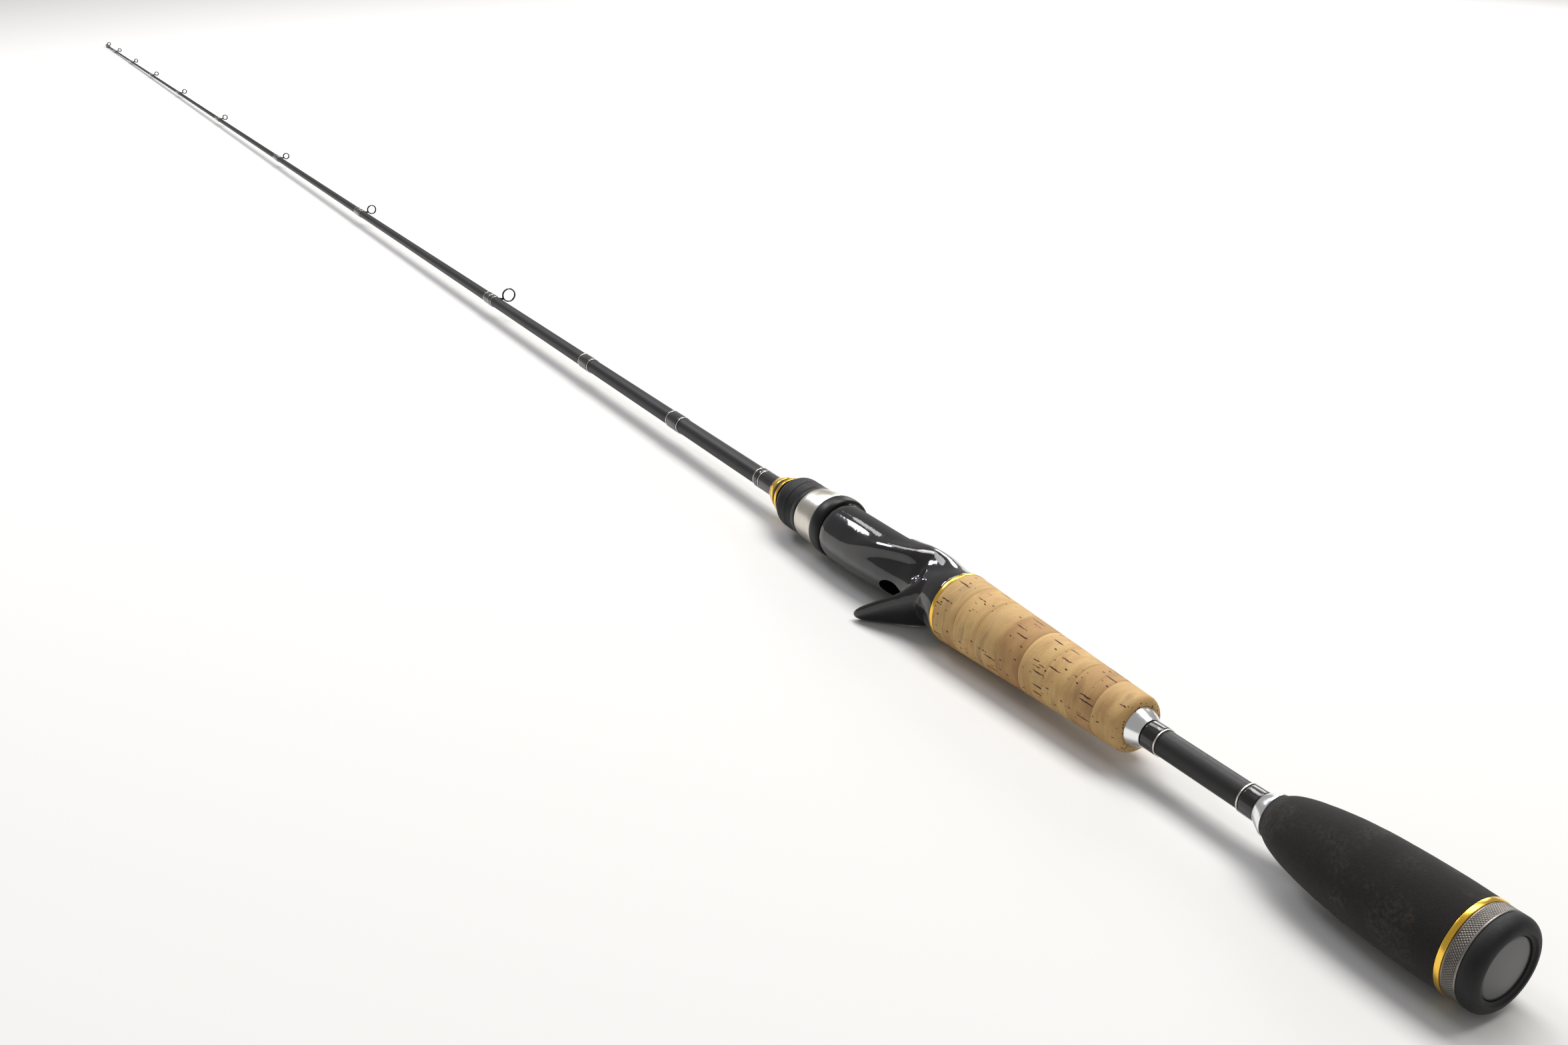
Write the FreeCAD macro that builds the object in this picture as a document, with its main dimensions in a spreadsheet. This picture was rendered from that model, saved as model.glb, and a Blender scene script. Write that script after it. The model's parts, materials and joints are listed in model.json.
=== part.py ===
import FreeCAD, Part
import math
import os
import Sketcher

# A one-piece trigger-grip casting rod, lying as it rests on a table: the gold ring behind the reel seat,
# the trigger's tip and the tip-top touch the surface. Every piece is drawn in the rod's own frame (x along
# the axis from the butt, z towards the guides, y across) and then carries one shared Placement, "rest",
# that lays the rod down on its trigger.

doc = FreeCAD.newDocument("casting_rod")
sheet = doc.addObject("Spreadsheet::Sheet", "Sizes")


class Size:
    """A size in millimetres that knows its value and the sheet formula that gives it."""

    def __init__(self, value, formula):
        self.value = float(value)
        self.formula = formula

    def joined(self, other, sign, result):
        return Size(result, f"({self.formula} {sign} {other.formula})")

    def __add__(self, other):
        other = as_size(other)
        return self.joined(other, "+", self.value + other.value)

    def __sub__(self, other):
        other = as_size(other)
        return self.joined(other, "-", self.value - other.value)

    def __mul__(self, other):
        other = as_size(other)
        return self.joined(other, "*", self.value * other.value)

    def __truediv__(self, other):
        other = as_size(other)
        return self.joined(other, "/", self.value / other.value)

    def __neg__(self):
        return Size(-self.value, f"(0 - {self.formula})")


def as_size(number):
    return number if isinstance(number, Size) else Size(number, repr(float(number)))


def size(name, value):
    """Puts one driving dimension in the next row of the sheet, under an alias."""
    row = len(size.names) + 1
    size.names.append(name)
    sheet.set(f"A{row}", name)
    sheet.set(f"B{row}", str(value))
    sheet.setAlias(f"B{row}", name)
    return Size(value, f"Sizes.{name}")


size.names = []

# ---- driving dimensions ----------------------------------------------------------------------------------
rest_roll = size("rest_roll", 64.11)
rest_pitch = size("rest_pitch", 0.412)
rest_x = size("rest_x", -1014.82)
rest_y = size("rest_y", -5.19)
rest_z = size("rest_z", 16.084)

blank_start = size("blank_start", 7)
blank_butt_radius = size("blank_butt_radius", 4.85)
blank_grip_radius = size("blank_grip_radius", 4.18)
blank_grip_end = size("blank_grip_end", 400)
blank_mid_radius = size("blank_mid_radius", 2.75)
blank_mid = size("blank_mid", 885)
blank_upper_radius = size("blank_upper_radius", 1.7)
blank_upper = size("blank_upper", 1450)
blank_tip_radius = size("blank_tip_radius", 0.85)
blank_wall = size("blank_wall", 0.9)
blank_tip_wall = size("blank_tip_wall", 0.45)

cap_radius = size("cap_radius", 14.8)
cap_length = size("cap_length", 5.4)
cap_round = size("cap_round", 3.0)
recess_radius = size("recess_radius", 10)
recess_depth = size("recess_depth", 1.1)
disc_thickness = size("disc_thickness", 0.9)
knurled_ring_length = size("knurled_ring_length", 4.8)
gold_ring_length = size("gold_ring_length", 1.8)
gold_ring_radius = size("gold_ring_radius", 15.1)
plug_radius = size("plug_radius", 10)
plug_end = size("plug_end", 24)
glue_gap = size("glue_gap", 0.05)

grip_end = size("grip_end", 81.5)
grip_rear_radius = size("grip_rear_radius", 15.3)
check_length = size("check_length", 5)
check_wide_radius = size("check_wide_radius", 7.4)
check_narrow_radius = size("check_narrow_radius", 5.4)

wrap_thickness = size("wrap_thickness", 0.45)
trim_width = size("trim_width", 0.7)
trim_thickness = size("trim_thickness", 0.5)
handle_wrap_length = size("handle_wrap_length", 6.2)

cork_start = size("cork_start", 141.5)
cork_end = size("cork_end", 239.6)
cork_rear_radius = size("cork_rear_radius", 10.4)
cork_front_radius = size("cork_front_radius", 14.2)
cork_shoulder = size("cork_shoulder", 3.2)

seat_ring_radius = size("seat_ring_radius", 14.35)
seat_ring_crown = size("seat_ring_crown", 0.3)
seat_start = size("seat_start", 241.4)
seat_bore = size("seat_bore", 6.6)
deck_height = size("deck_height", 8.4)
deck_start = size("deck_start", 279)
pocket_end = size("pocket_end", 264)
pocket_radius = size("pocket_radius", 11.4)
pocket_lift = size("pocket_lift", 0.6)
dome_lift = size("dome_lift", 2.1)
body_front = size("body_front", 323.7)
hub_radius = size("hub_radius", 9.2)
hub_end = size("hub_end", 344)
thread_crest = size("thread_crest", 8.8)
barrel_end = size("barrel_end", 362)
keyway_width = size("keyway_width", 3)
window_length = size("window_length", 15)
window_width = size("window_width", 9)
window_middle = size("window_middle", 274)

hood_start = size("hood_start", 324)
hood_ring_length = size("hood_ring_length", 7.3)
hood_end = size("hood_end", 344.2)
hood_ring_radius = size("hood_ring_radius", 13.3)
hood_neck_radius = size("hood_neck_radius", 11.95)
hood_rear_radius = size("hood_rear_radius", 12.4)
hood_front_radius = size("hood_front_radius", 11.65)
hood_pocket_end = size("hood_pocket_end", 336)
running_gap = size("running_gap", 0.1)

nut_start = size("nut_start", 344.4)
nut_radius = size("nut_radius", 11.65)
nut_front = size("nut_front", 364.4)
nut_front_radius = size("nut_front_radius", 9.1)
nut_ring_length = size("nut_ring_length", 2)
nut_step_length = size("nut_step_length", 3.2)
nut_cone_length = size("nut_cone_length", 6)
nut_mouth_radius = size("nut_mouth_radius", 5)

front_wrap_end = size("front_wrap_end", 392)
decor_wrap_a = size("decor_wrap_a", 468)
decor_wrap_b = size("decor_wrap_b", 574)
decor_wrap_length = size("decor_wrap_length", 11)

guide_places = [714, 980, 1212, 1428, 1604, 1745, 1860, 1962]
guide_rings = [4.4, 3.55, 2.8, 2.6, 2.5, 2.4, 2.3, 2.3]
guide_clearance = size("guide_clearance", 1.0)
hoop_width = size("hoop_width", 1.2)
hoop_wall = size("hoop_wall", 0.45)
insert_wall = size("insert_wall", 0.55)
insert_width = size("insert_width", 1.5)
foot_thickness = size("foot_thickness", 0.3)
foot_length = size("foot_length", 9)
tip_tube_start = size("tip_tube_start", 2014)
tip_tube_radius = size("tip_tube_radius", 1.5)
tip_ring_radius = size("tip_ring_radius", 2.3)
tip_ring_place = size("tip_ring_place", 2029)

doc.recompute()


def rest():
    """The shared Placement: roll about the rod's axis onto the trigger, then pitch down towards the tip."""
    roll = FreeCAD.Rotation(FreeCAD.Vector(1, 0, 0), rest_roll.value)
    pitch = FreeCAD.Rotation(FreeCAD.Vector(0, 1, 0), rest_pitch.value)
    return FreeCAD.Placement(FreeCAD.Vector(rest_x.value, rest_y.value, rest_z.value), pitch.multiply(roll))


sub_parts = []


def finish(sub_part):
    """Lays a finished sub-part down with the rest of the rod and puts it on the list to be written."""
    sub_part.Placement = rest()
    sub_parts.append(sub_part)
    return sub_part


def bind(thing, name, value):
    """Sets a property from a size and binds it to that size's formula."""
    value = as_size(value)
    if not name.startswith("Placement") and not name.startswith("AttachmentOffset"):
        setattr(thing, name, value.value)
    thing.setExpression(name, value.formula)


def new_body(label):
    body = doc.addObject("PartDesign::Body", label)
    body.Label = label
    return body


def new_sketch(body, plane, name, offset=None):
    """A sketch on one of the body's own origin planes, lifted by offset along that plane's normal."""
    sketch = body.newObject("Sketcher::SketchObject", name)
    role = f"{plane}_Plane"
    origin_plane = [feature for feature in body.Origin.OriginFeatures if feature.Role == role][0]
    sketch.AttachmentSupport = (origin_plane, [""])
    sketch.MapMode = "FlatFace"
    if offset is not None:
        sketch.AttachmentOffset = FreeCAD.Placement(FreeCAD.Vector(0, 0, offset.value), FreeCAD.Rotation())
        sketch.setExpression("AttachmentOffset.Base.z", offset.formula)
    return sketch


def place_point(sketch, line, end, across, up):
    """Pins a line's end at (across, up) from the sketch's origin, by sizes."""
    for kind, position, own_axis in (("DistanceX", across, -2), ("DistanceY", up, -1)):
        if abs(position.value) < 1e-9:
            sketch.addConstraint(Sketcher.Constraint("PointOnObject", line, end, own_axis))
            continue
        if position.value > 0:
            pin = Sketcher.Constraint(kind, -1, 1, line, end, position.value)
            formula = position.formula
        else:
            pin = Sketcher.Constraint(kind, line, end, -1, 1, -position.value)
            formula = f"(0 - {position.formula})"
        number = sketch.addConstraint(pin)
        sketch.setExpression(f"Constraints[{number}]", formula)


def polygon(sketch, points):
    """A closed outline of straight lines through points, each point pinned by its sizes."""
    points = [(as_size(a), as_size(b)) for a, b in points]
    vectors = [FreeCAD.Vector(a.value, b.value, 0) for a, b in points]
    count = len(points)
    for i in range(count):
        sketch.addGeometry(Part.LineSegment(vectors[i], vectors[(i + 1) % count]), False)
    for i in range(count):
        sketch.addConstraint(Sketcher.Constraint("Coincident", i, 2, (i + 1) % count, 1))
    for i, (a, b) in enumerate(points):
        place_point(sketch, i, 1, a, b)


def circle(sketch, across, up, radius):
    """A circle pinned at its centre, with its radius bound."""
    across, up, radius = as_size(across), as_size(up), as_size(radius)
    centre = FreeCAD.Vector(across.value, up.value, 0)
    number = sketch.addGeometry(Part.Circle(centre, FreeCAD.Vector(0, 0, 1), radius.value), False)
    place_point(sketch, number, 3, across, up)
    bound = sketch.addConstraint(Sketcher.Constraint("Radius", number, radius.value))
    sketch.setExpression(f"Constraints[{bound}]", radius.formula)


def revolve(body, outline, kind="PartDesign::Revolution", height=None):
    """Turns a half section (along, radius) about the rod's axis, or about an axis lifted by height."""
    sketch = new_sketch(body, "XY", "section", height)
    polygon(sketch, outline)
    turned = body.newObject(kind, "turned")
    turned.Profile = sketch
    turned.ReferenceAxis = (sketch, ["H_Axis"])
    turned.Angle = 360
    return turned


def round_edges(body, base, wanted, radius):
    """Rounds the circular edges of base that stand at the wanted (along, radius) places."""
    doc.recompute()
    names = []
    for number, edge in enumerate(base.Shape.Edges, 1):
        for along, edge_radius in wanted:
            ring = isinstance(edge.Curve, Part.Circle)
            if not ring:
                continue
            middle = body.Placement.inverse().multVec(edge.Curve.Center)
            if abs(middle.x - along.value) < 0.01 and abs(edge.Curve.Radius - edge_radius.value) < 0.01:
                names.append(f"Edge{number}")
    fillet = body.newObject("PartDesign::Fillet", "rounding")
    fillet.Base = (base, names)
    bind(fillet, "Radius", radius)
    return fillet


def turned_piece(label, outline, height=None):
    """A whole sub-part that is one turned shape."""
    body = new_body(label)
    revolve(body, outline, height=height)
    return finish(body)


def pad(body, sketch, length, centred=True, kind="PartDesign::Pad"):
    padded = body.newObject(kind, "pad")
    padded.Profile = sketch
    bind(padded, "Length", length)
    if centred:
        padded.SideType = "Symmetric"
    return padded


def loft(body, sketches, kind="PartDesign::AdditiveLoft"):
    lofted = body.newObject(kind, "loft")
    lofted.Profile = sketches[0]
    lofted.Sections = [(sketch, [""]) for sketch in sketches[1:]]
    return lofted


def join_solids(label, bodies):
    """One sub-part made of separate solids that are alike."""
    group = doc.addObject("Part::Compound", label)
    group.Label = label
    group.Links = bodies
    return finish(group)


# ---- the blank -------------------------------------------------------------------------------------------
# A one-piece hollow carbon tube that runs from the butt to the tip-top, tapering in four straight
# stretches.
blank_stations = [
    (blank_start, blank_butt_radius),
    (blank_grip_end, blank_grip_radius),
    (blank_mid, blank_mid_radius),
    (blank_upper, blank_upper_radius),
    (tip_ring_place - 1.5, blank_tip_radius),
]


def blank_radius(along):
    """The blank's outer radius at a place along the rod."""
    for (start, start_radius), (end, end_radius) in zip(blank_stations, blank_stations[1:]):
        if along.value <= end.value:
            return start_radius + (end_radius - start_radius) * (along - start) / (end - start)
    return blank_tip_radius


blank_outline = list(blank_stations)
for along, radius in reversed(blank_stations):
    blank_outline.append((along, radius - (blank_tip_wall if along.value > blank_mid.value else blank_wall)))
turned_piece("blank", blank_outline)


# ---- the butt --------------------------------------------------------------------------------------------
# An aluminium plug is glued over the blank's end. It carries the knurled ring, the gold ring and the rubber
# cap, whose recess holds a plain disc.
knurl_start = cap_length
gold_start = knurl_start + knurled_ring_length
grip_start = gold_start + gold_ring_length
plug_bore = blank_radius(blank_start) + glue_gap
plug_back = recess_depth + disc_thickness + 0.3

turned_piece("butt_plug", [
    (plug_back, 0.0),
    (plug_back, plug_radius),
    (plug_end, plug_radius),
    (plug_end, plug_bore),
    (blank_start, plug_bore),
    (blank_start, 0.0),
])

cap = new_body("butt_cap")
cap_turned = revolve(cap, [
    (0.0, recess_radius),
    (0.0, cap_radius),
    (cap_length, cap_radius),
    (cap_length, plug_radius + glue_gap),
    (plug_back, plug_radius + glue_gap),
    (plug_back, recess_radius),
])
round_edges(cap, cap_turned, [(as_size(0.0), cap_radius)], cap_round)
finish(cap)

turned_piece("butt_disc", [
    (recess_depth, 0.0),
    (recess_depth, recess_radius - glue_gap),
    (recess_depth + disc_thickness, recess_radius - glue_gap),
    (recess_depth + disc_thickness, 0.0),
])


def plain_ring(label, start, end, inner, outer):
    return turned_piece(label, [(start, inner), (start, outer), (end, outer), (end, inner)])


plain_ring("knurled_butt_ring", knurl_start, gold_start, plug_radius + glue_gap, cap_radius)
plain_ring("butt_gold_ring", gold_start, grip_start, plug_radius + glue_gap, gold_ring_radius)

# The rear grip is turned from foam: a barrel that is widest at the gold ring and closes in a round nose.
grip_bore = blank_radius(plug_end) + glue_gap
grip_curve = [(0.12, 1.0), (0.3, 0.985), (0.5, 0.955), (0.64, 0.895), (0.76, 0.815), (0.86, 0.725),
              (0.93, 0.63), (0.975, 0.54), (1.0, 0.46)]
grip_span = grip_end - grip_start
grip = new_body("rear_grip")
grip_outline = [(grip_start, plug_radius + glue_gap), (grip_start, grip_rear_radius * 0.985)]
for share, fullness in grip_curve:
    grip_outline.append((grip_start + grip_span * share, grip_rear_radius * fullness))
grip_outline += [
    (grip_end, grip_bore),
    (plug_end + 0.2, grip_bore),
    (plug_end + 0.2, plug_radius + glue_gap),
]
revolve(grip, grip_outline)
finish(grip)


# ---- the split between the grips -------------------------------------------------------------------------
# Turned aluminium checks close each grip's end. Thread wraps under varnish, with a silver thread band, run
# out from each check on to the bare blank.
def thread_wrap(label, start, end, thickness, place=finish):
    """A varnished thread wrap that follows the blank's taper and slopes off at both ends."""
    slope = thickness * 1.5
    body = new_body(label)
    revolve(body, [
        (start, blank_radius(start)),
        (start + slope, blank_radius(start) + thickness),
        (end - slope, blank_radius(end) + thickness),
        (end, blank_radius(end)),
    ])
    return place(body)


def trim_band(label, middle, place=finish):
    """A narrow band of silver thread, a ring that stands just proud of the wrap it closes."""
    start = middle - trim_width / 2
    end = middle + trim_width / 2
    body = new_body(label)
    revolve(body, [
        (start, blank_radius(start) + glue_gap),
        (start, blank_radius(start) + trim_thickness),
        (end, blank_radius(end) + trim_thickness),
        (end, blank_radius(end) + glue_gap),
    ])
    return place(body)


def keep(body):
    """For a solid that joins others in one sub-part."""
    return body


rear_check_end = grip_end + check_length
turned_piece("rear_winding_check", [
    (grip_end, blank_radius(grip_end) + glue_gap),
    (grip_end, check_wide_radius),
    (grip_end + 0.6, check_wide_radius),
    (rear_check_end, check_narrow_radius),
    (rear_check_end, blank_radius(grip_end) + glue_gap),
])
rear_wrap_end = rear_check_end + handle_wrap_length
thread_wrap("rear_handle_wrap", rear_check_end + 0.05, rear_wrap_end, wrap_thickness)
trim_band("rear_silver_trim", rear_wrap_end + trim_width / 2 + 0.05)

fore_check_start = cork_start - check_length
fore_wrap_start = fore_check_start - handle_wrap_length
thread_wrap("fore_handle_wrap", fore_wrap_start, fore_check_start - 0.05, wrap_thickness)
trim_band("fore_silver_trim", fore_wrap_start - trim_width / 2 - 0.05)
turned_piece("cork_winding_check", [
    (fore_check_start, blank_radius(fore_check_start) + glue_gap),
    (fore_check_start, check_narrow_radius),
    (cork_start - 0.6, check_wide_radius),
    (cork_start + 1.5, check_wide_radius),
    (cork_start + 1.5, blank_radius(fore_check_start) + glue_gap),
])


# ---- the cork grip ---------------------------------------------------------------------------------------
# Eight cork rings are glued in a row and turned to one taper. The rearmost has a round shoulder and seats
# the check.
CORK_RINGS = 8
cork_pitch = (cork_end - cork_start) / CORK_RINGS
cork_bore = blank_radius(cork_start) + glue_gap
for number in range(CORK_RINGS):
    start = cork_start + cork_pitch * number
    end = cork_start + cork_pitch * (number + 1)
    outer = [cork_rear_radius + (cork_front_radius - cork_rear_radius) * (number + step) / CORK_RINGS
             for step in (0, 1)]
    label = f"cork_ring_{number + 1}"
    if number:
        turned_piece(label, [(start, cork_bore), (start, outer[0]), (end, outer[1]), (end, cork_bore)])
        continue
    seat_for_check = check_wide_radius + glue_gap
    ring = new_body(label)
    ring_turned = revolve(ring, [
        (start, seat_for_check),
        (start, outer[0]),
        (end, outer[1]),
        (end, cork_bore),
        (start + 1.55, cork_bore),
        (start + 1.55, seat_for_check),
    ])
    round_edges(ring, ring_turned, [(start, outer[0])], cork_shoulder * 0.9)
    finish(ring)

# The gold ring that closes the grip against the seat is turned with a slight crown.
ring_quarter = (seat_start - cork_end) * 0.25
turned_piece("seat_gold_ring", [
    (cork_end, seat_bore + glue_gap),
    (cork_end, seat_ring_radius - seat_ring_crown),
    (cork_end + ring_quarter, seat_ring_radius - seat_ring_crown * 0.25),
    (cork_end + ring_quarter * 2, seat_ring_radius),
    (seat_start - ring_quarter, seat_ring_radius - seat_ring_crown * 0.25),
    (seat_start, seat_ring_radius - seat_ring_crown),
    (seat_start, seat_bore + glue_gap),
])


# ---- the reel seat ---------------------------------------------------------------------------------------
# A moulded body: a slim belly that leaves a finger hollow ahead of the trigger, an upper shell whose lower
# edge runs back and up as a palm ridge, a fixed rear hood over the reel foot's pocket, a flat deck for the
# foot, and a hub and a threaded barrel for the sliding hood and the lock nut.
seat = new_body("reel_seat")


def round_loft(body, stations, name):
    """A loft through circles given as (along, radius, lift towards the reel side)."""
    sketches = []
    for along, radius, lift in stations:
        sketch = new_sketch(body, "YZ", f"{name}_station", as_size(along))
        circle(sketch, 0.0, lift, radius)
        sketches.append(sketch)
    return loft(body, sketches)


def slot(sketch, across, up, reach, radius):
    """A round-ended slot about (across, up), whose round ends stand reach away to either side."""
    across, up, reach, radius = as_size(across), as_size(up), as_size(reach), as_size(radius)
    ends = [across - reach, across + reach]
    half_turn = math.pi / 2
    for turn, end in ((half_turn, ends[0]), (-half_turn, ends[1])):
        centre = FreeCAD.Vector(end.value, up.value, 0)
        ring = Part.Circle(centre, FreeCAD.Vector(0, 0, 1), radius.value)
        sketch.addGeometry(Part.ArcOfCircle(ring, turn, turn + math.pi), False)
    for side in (-1, 1):
        height = up.value + side * radius.value
        left = FreeCAD.Vector(ends[0].value, height, 0)
        right = FreeCAD.Vector(ends[1].value, height, 0)
        sketch.addGeometry(Part.LineSegment(left, right), False)
    for arc, arc_end, line, line_end in ((0, 2, 2, 1), (2, 2, 1, 1), (1, 2, 3, 2), (3, 1, 0, 1)):
        sketch.addConstraint(Sketcher.Constraint("Tangent", arc, arc_end, line, line_end))
    place_point(sketch, 0, 3, ends[0], up)
    place_point(sketch, 1, 3, ends[1], up)
    sketch.addConstraint(Sketcher.Constraint("Equal", 0, 1))
    bound = sketch.addConstraint(Sketcher.Constraint("Radius", 0, radius.value))
    sketch.setExpression(f"Constraints[{bound}]", radius.formula)


def crescent(sketch, chord_height, radius, lift):
    """The part of a circle, lifted by lift, that stands above a flat chord."""
    middle = FreeCAD.Vector(0, lift.value, 0)
    reach = math.sqrt(radius.value ** 2 - (chord_height.value - lift.value) ** 2)
    turn = math.atan2(chord_height.value - lift.value, reach)
    ring = Part.Circle(middle, FreeCAD.Vector(0, 0, 1), radius.value)
    sketch.addGeometry(Part.ArcOfCircle(ring, turn, math.pi - turn), False)
    left = FreeCAD.Vector(-reach, chord_height.value, 0)
    right = FreeCAD.Vector(reach, chord_height.value, 0)
    sketch.addGeometry(Part.LineSegment(left, right), False)
    sketch.addConstraint(Sketcher.Constraint("Coincident", 0, 2, 1, 1))
    sketch.addConstraint(Sketcher.Constraint("Coincident", 0, 1, 1, 2))
    sketch.addConstraint(Sketcher.Constraint("Horizontal", 1))
    place_point(sketch, 0, 3, as_size(0.0), lift)
    bound = sketch.addConstraint(Sketcher.Constraint("Radius", 0, radius.value))
    sketch.setExpression(f"Constraints[{bound}]", radius.formula)
    bound = sketch.addConstraint(Sketcher.Constraint("DistanceY", -1, 1, 1, 1, chord_height.value))
    sketch.setExpression(f"Constraints[{bound}]", chord_height.formula)


def cut_forward(body, sketch, length):
    """A pocket that runs from its sketch towards the rod's tip."""
    cut = body.newObject("PartDesign::Pocket", "cut")
    cut.Profile = sketch
    cut.Reversed = True
    bind(cut, "Length", length)
    return cut


# upper shell and the dome of the fixed hood, then the cut that leaves their lower edge as the palm ridge
revolve(seat, [
    (seat_start + 6, 0.0),
    (seat_start + 6, 11.5),
    (seat_start + 12, 12.7),
    (seat_start + 22, 13.0),
    (seat_start + 50, 13.1),
    (seat_start + 66, 13.0),
    (seat_start + 76, 12.8),
    (body_front - 1.2, 12.5),
    (body_front, 11.4),
    (body_front, 0.0),
])
revolve(seat, [
    (seat_start + 4, 0.0),
    (seat_start + 4, 10.0),
    (seat_start + 10, 11.6),
    (seat_start + 16, 12.7),
    (seat_start + 22, 13.2),
    (seat_start + 30, 13.2),
    (seat_start + 36, 12.6),
    (seat_start + 42, 11.2),
    (seat_start + 42, 0.0),
], height=dome_lift)
ridge = new_sketch(seat, "XZ", "below_ridge")
polygon(ridge, [
    (seat_start + 3, -18.0),
    (seat_start + 3, -3.0),
    (seat_start + 24, 1.0),
    (seat_start + 52, -6.5),
    (seat_start + 84, -14.5),
    (seat_start + 84, -18.0),
])
pad(seat, ridge, as_size(60), kind="PartDesign::Pocket")
revolve(seat, [
    (seat_start, 0.0),
    (seat_start, 14.2),
    (seat_start + 3, 13.9),
    (seat_start + 8, 12.9),
    (seat_start + 15, 11.2),
    (seat_start + 21, 10.1),
    (seat_start + 27, 9.8),
    (seat_start + 34, 10.2),
    (seat_start + 44, 11.4),
    (seat_start + 56, 12.3),
    (seat_start + 70, 12.6),
    (seat_start + 80, 12.2),
    (seat_start + 80, 0.0),
])

# the trigger: a tongue that leans forward, broad at its root and narrow at its rounded tip
trigger_stations = [
    (-4.0, 255.5, 6.0, 5.0),
    (-10.0, 258.5, 5.6, 4.0),
    (-16.0, 264.0, 4.2, 2.9),
    (-22.0, 270.3, 2.4, 2.4),
    (-26.0, 274.4, 1.0, 2.0),
    (-27.8, 275.9, 0.4, 1.2),
]
trigger_sketches = []
for depth, along, reach, radius in trigger_stations:
    sketch = new_sketch(seat, "XY", "trigger_station", as_size(depth))
    sketch.AttachmentOffset = FreeCAD.Placement(
        FreeCAD.Vector(along, 0, depth), FreeCAD.Rotation(FreeCAD.Vector(0, 0, 1), 90))
    slot(sketch, 0.0, 0.0, reach, radius)
    trigger_sketches.append(sketch)
loft(seat, trigger_sketches)

# hub and threaded barrel
revolve(seat, [
    (body_front - 4, seat_bore - 0.5),
    (body_front - 4, hub_radius),
    (hub_end, hub_radius),
    (hub_end, thread_crest),
    (barrel_end - 0.6, thread_crest),
    (barrel_end, thread_crest - 0.6),
    (barrel_end, seat_bore - 0.5),
])

# deck for the reel foot, and the fixed hood's pocket behind it
deck = new_sketch(seat, "XZ", "deck")
polygon(deck, [
    (deck_start, deck_height),
    (deck_start, 24.0),
    (hub_end + 12, 24.0),
    (hub_end + 12, deck_height),
])
pad(seat, deck, as_size(60), kind="PartDesign::Pocket")
rear_pocket = new_sketch(seat, "YZ", "rear_pocket", pocket_end)
crescent(rear_pocket, deck_height, pocket_radius, pocket_lift)
cut_forward(seat, rear_pocket, deck_start - pocket_end + 0.5)

# keyway that keeps the sliding hood from turning, the bore, and the window that bares the blank to the
# finger
keyway = new_sketch(seat, "YZ", "keyway", body_front + 10)
polygon(keyway, [
    (-(keyway_width / 2), -(hub_radius - 1.0)),
    (keyway_width / 2, -(hub_radius - 1.0)),
    (keyway_width / 2, -(hub_radius + 1.0)),
    (-(keyway_width / 2), -(hub_radius + 1.0)),
])
cut_forward(seat, keyway, as_size(24))
bore = new_sketch(seat, "YZ", "bore", seat_start - 1)
circle(bore, 0.0, 0.0, seat_bore)
cut_forward(seat, bore, barrel_end - seat_start + 2)
window = new_sketch(seat, "XY", "window")
slot(window, window_middle, 0.0, (window_length - window_width) / 2, window_width / 2)
pad(seat, window, as_size(12.5), centred=False, kind="PartDesign::Pocket")
finish(seat)

# bushings that centre the blank in the seat's bore
plain_ring("rear_arbor", seat_start + 1, window_middle - window_length / 2 - 3,
           blank_radius(seat_start) + glue_gap, seat_bore - glue_gap)
plain_ring("front_arbor", window_middle + window_length / 2 + 3, barrel_end - 0.5,
           blank_radius(window_middle) + glue_gap, seat_bore - glue_gap)


# ---- the sliding hood ------------------------------------------------------------------------------------
# A steel sleeve that slides on the hub, with a key in the hub's keyway, a pocket for the reel foot's front
# end, and a soft ring round its mouth.
neck_start = hood_start + 0.3
neck_end = hood_start + hood_ring_length
hood = new_body("front_hood")
neck = new_sketch(hood, "YZ", "neck", neck_start)
circle(neck, 0.0, pocket_lift, hood_neck_radius)
pad(hood, neck, neck_end - neck_start + 0.2, centred=False)
round_loft(hood, [
    (neck_end, hood_rear_radius, pocket_lift),
    (hood_pocket_end + 0.5, hood_rear_radius - 0.1, pocket_lift - 0.1),
    (hood_end - 3, hood_front_radius + 0.2, as_size(0.15)),
    (hood_end, hood_front_radius, as_size(0.0)),
], "sleeve")
hood_bore = new_sketch(hood, "YZ", "hub_bore", hood_start - 1)
circle(hood_bore, 0.0, 0.0, hub_radius + running_gap)
cut_forward(hood, hood_bore, hood_end - hood_start + 2)
front_pocket = new_sketch(hood, "YZ", "front_pocket", hood_start - 1)
crescent(front_pocket, deck_height - 0.4, pocket_radius, pocket_lift)
cut_forward(hood, front_pocket, hood_pocket_end - hood_start + 1)
key = new_sketch(hood, "YZ", "key", hood_pocket_end + 1)
key_half = keyway_width / 2 - running_gap
polygon(key, [
    (-key_half, -(hub_radius - 0.85)),
    (key_half, -(hub_radius - 0.85)),
    (key_half, -(hub_radius + 0.6)),
    (-key_half, -(hub_radius + 0.6)),
])
pad(hood, key, hood_end - hood_pocket_end - 1, centred=False)
finish(hood)

soft_ring = new_body("hood_ring")
soft_turned = revolve(soft_ring, [
    (hood_start, hood_neck_radius + glue_gap),
    (hood_start, hood_ring_radius),
    (neck_end - 0.05, hood_ring_radius),
    (neck_end - 0.05, hood_neck_radius + glue_gap),
], height=pocket_lift)
round_edges(soft_ring, soft_turned,
            [(hood_start, hood_ring_radius), (neck_end - 0.05, hood_ring_radius)], as_size(1.1))
finish(soft_ring)


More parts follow.
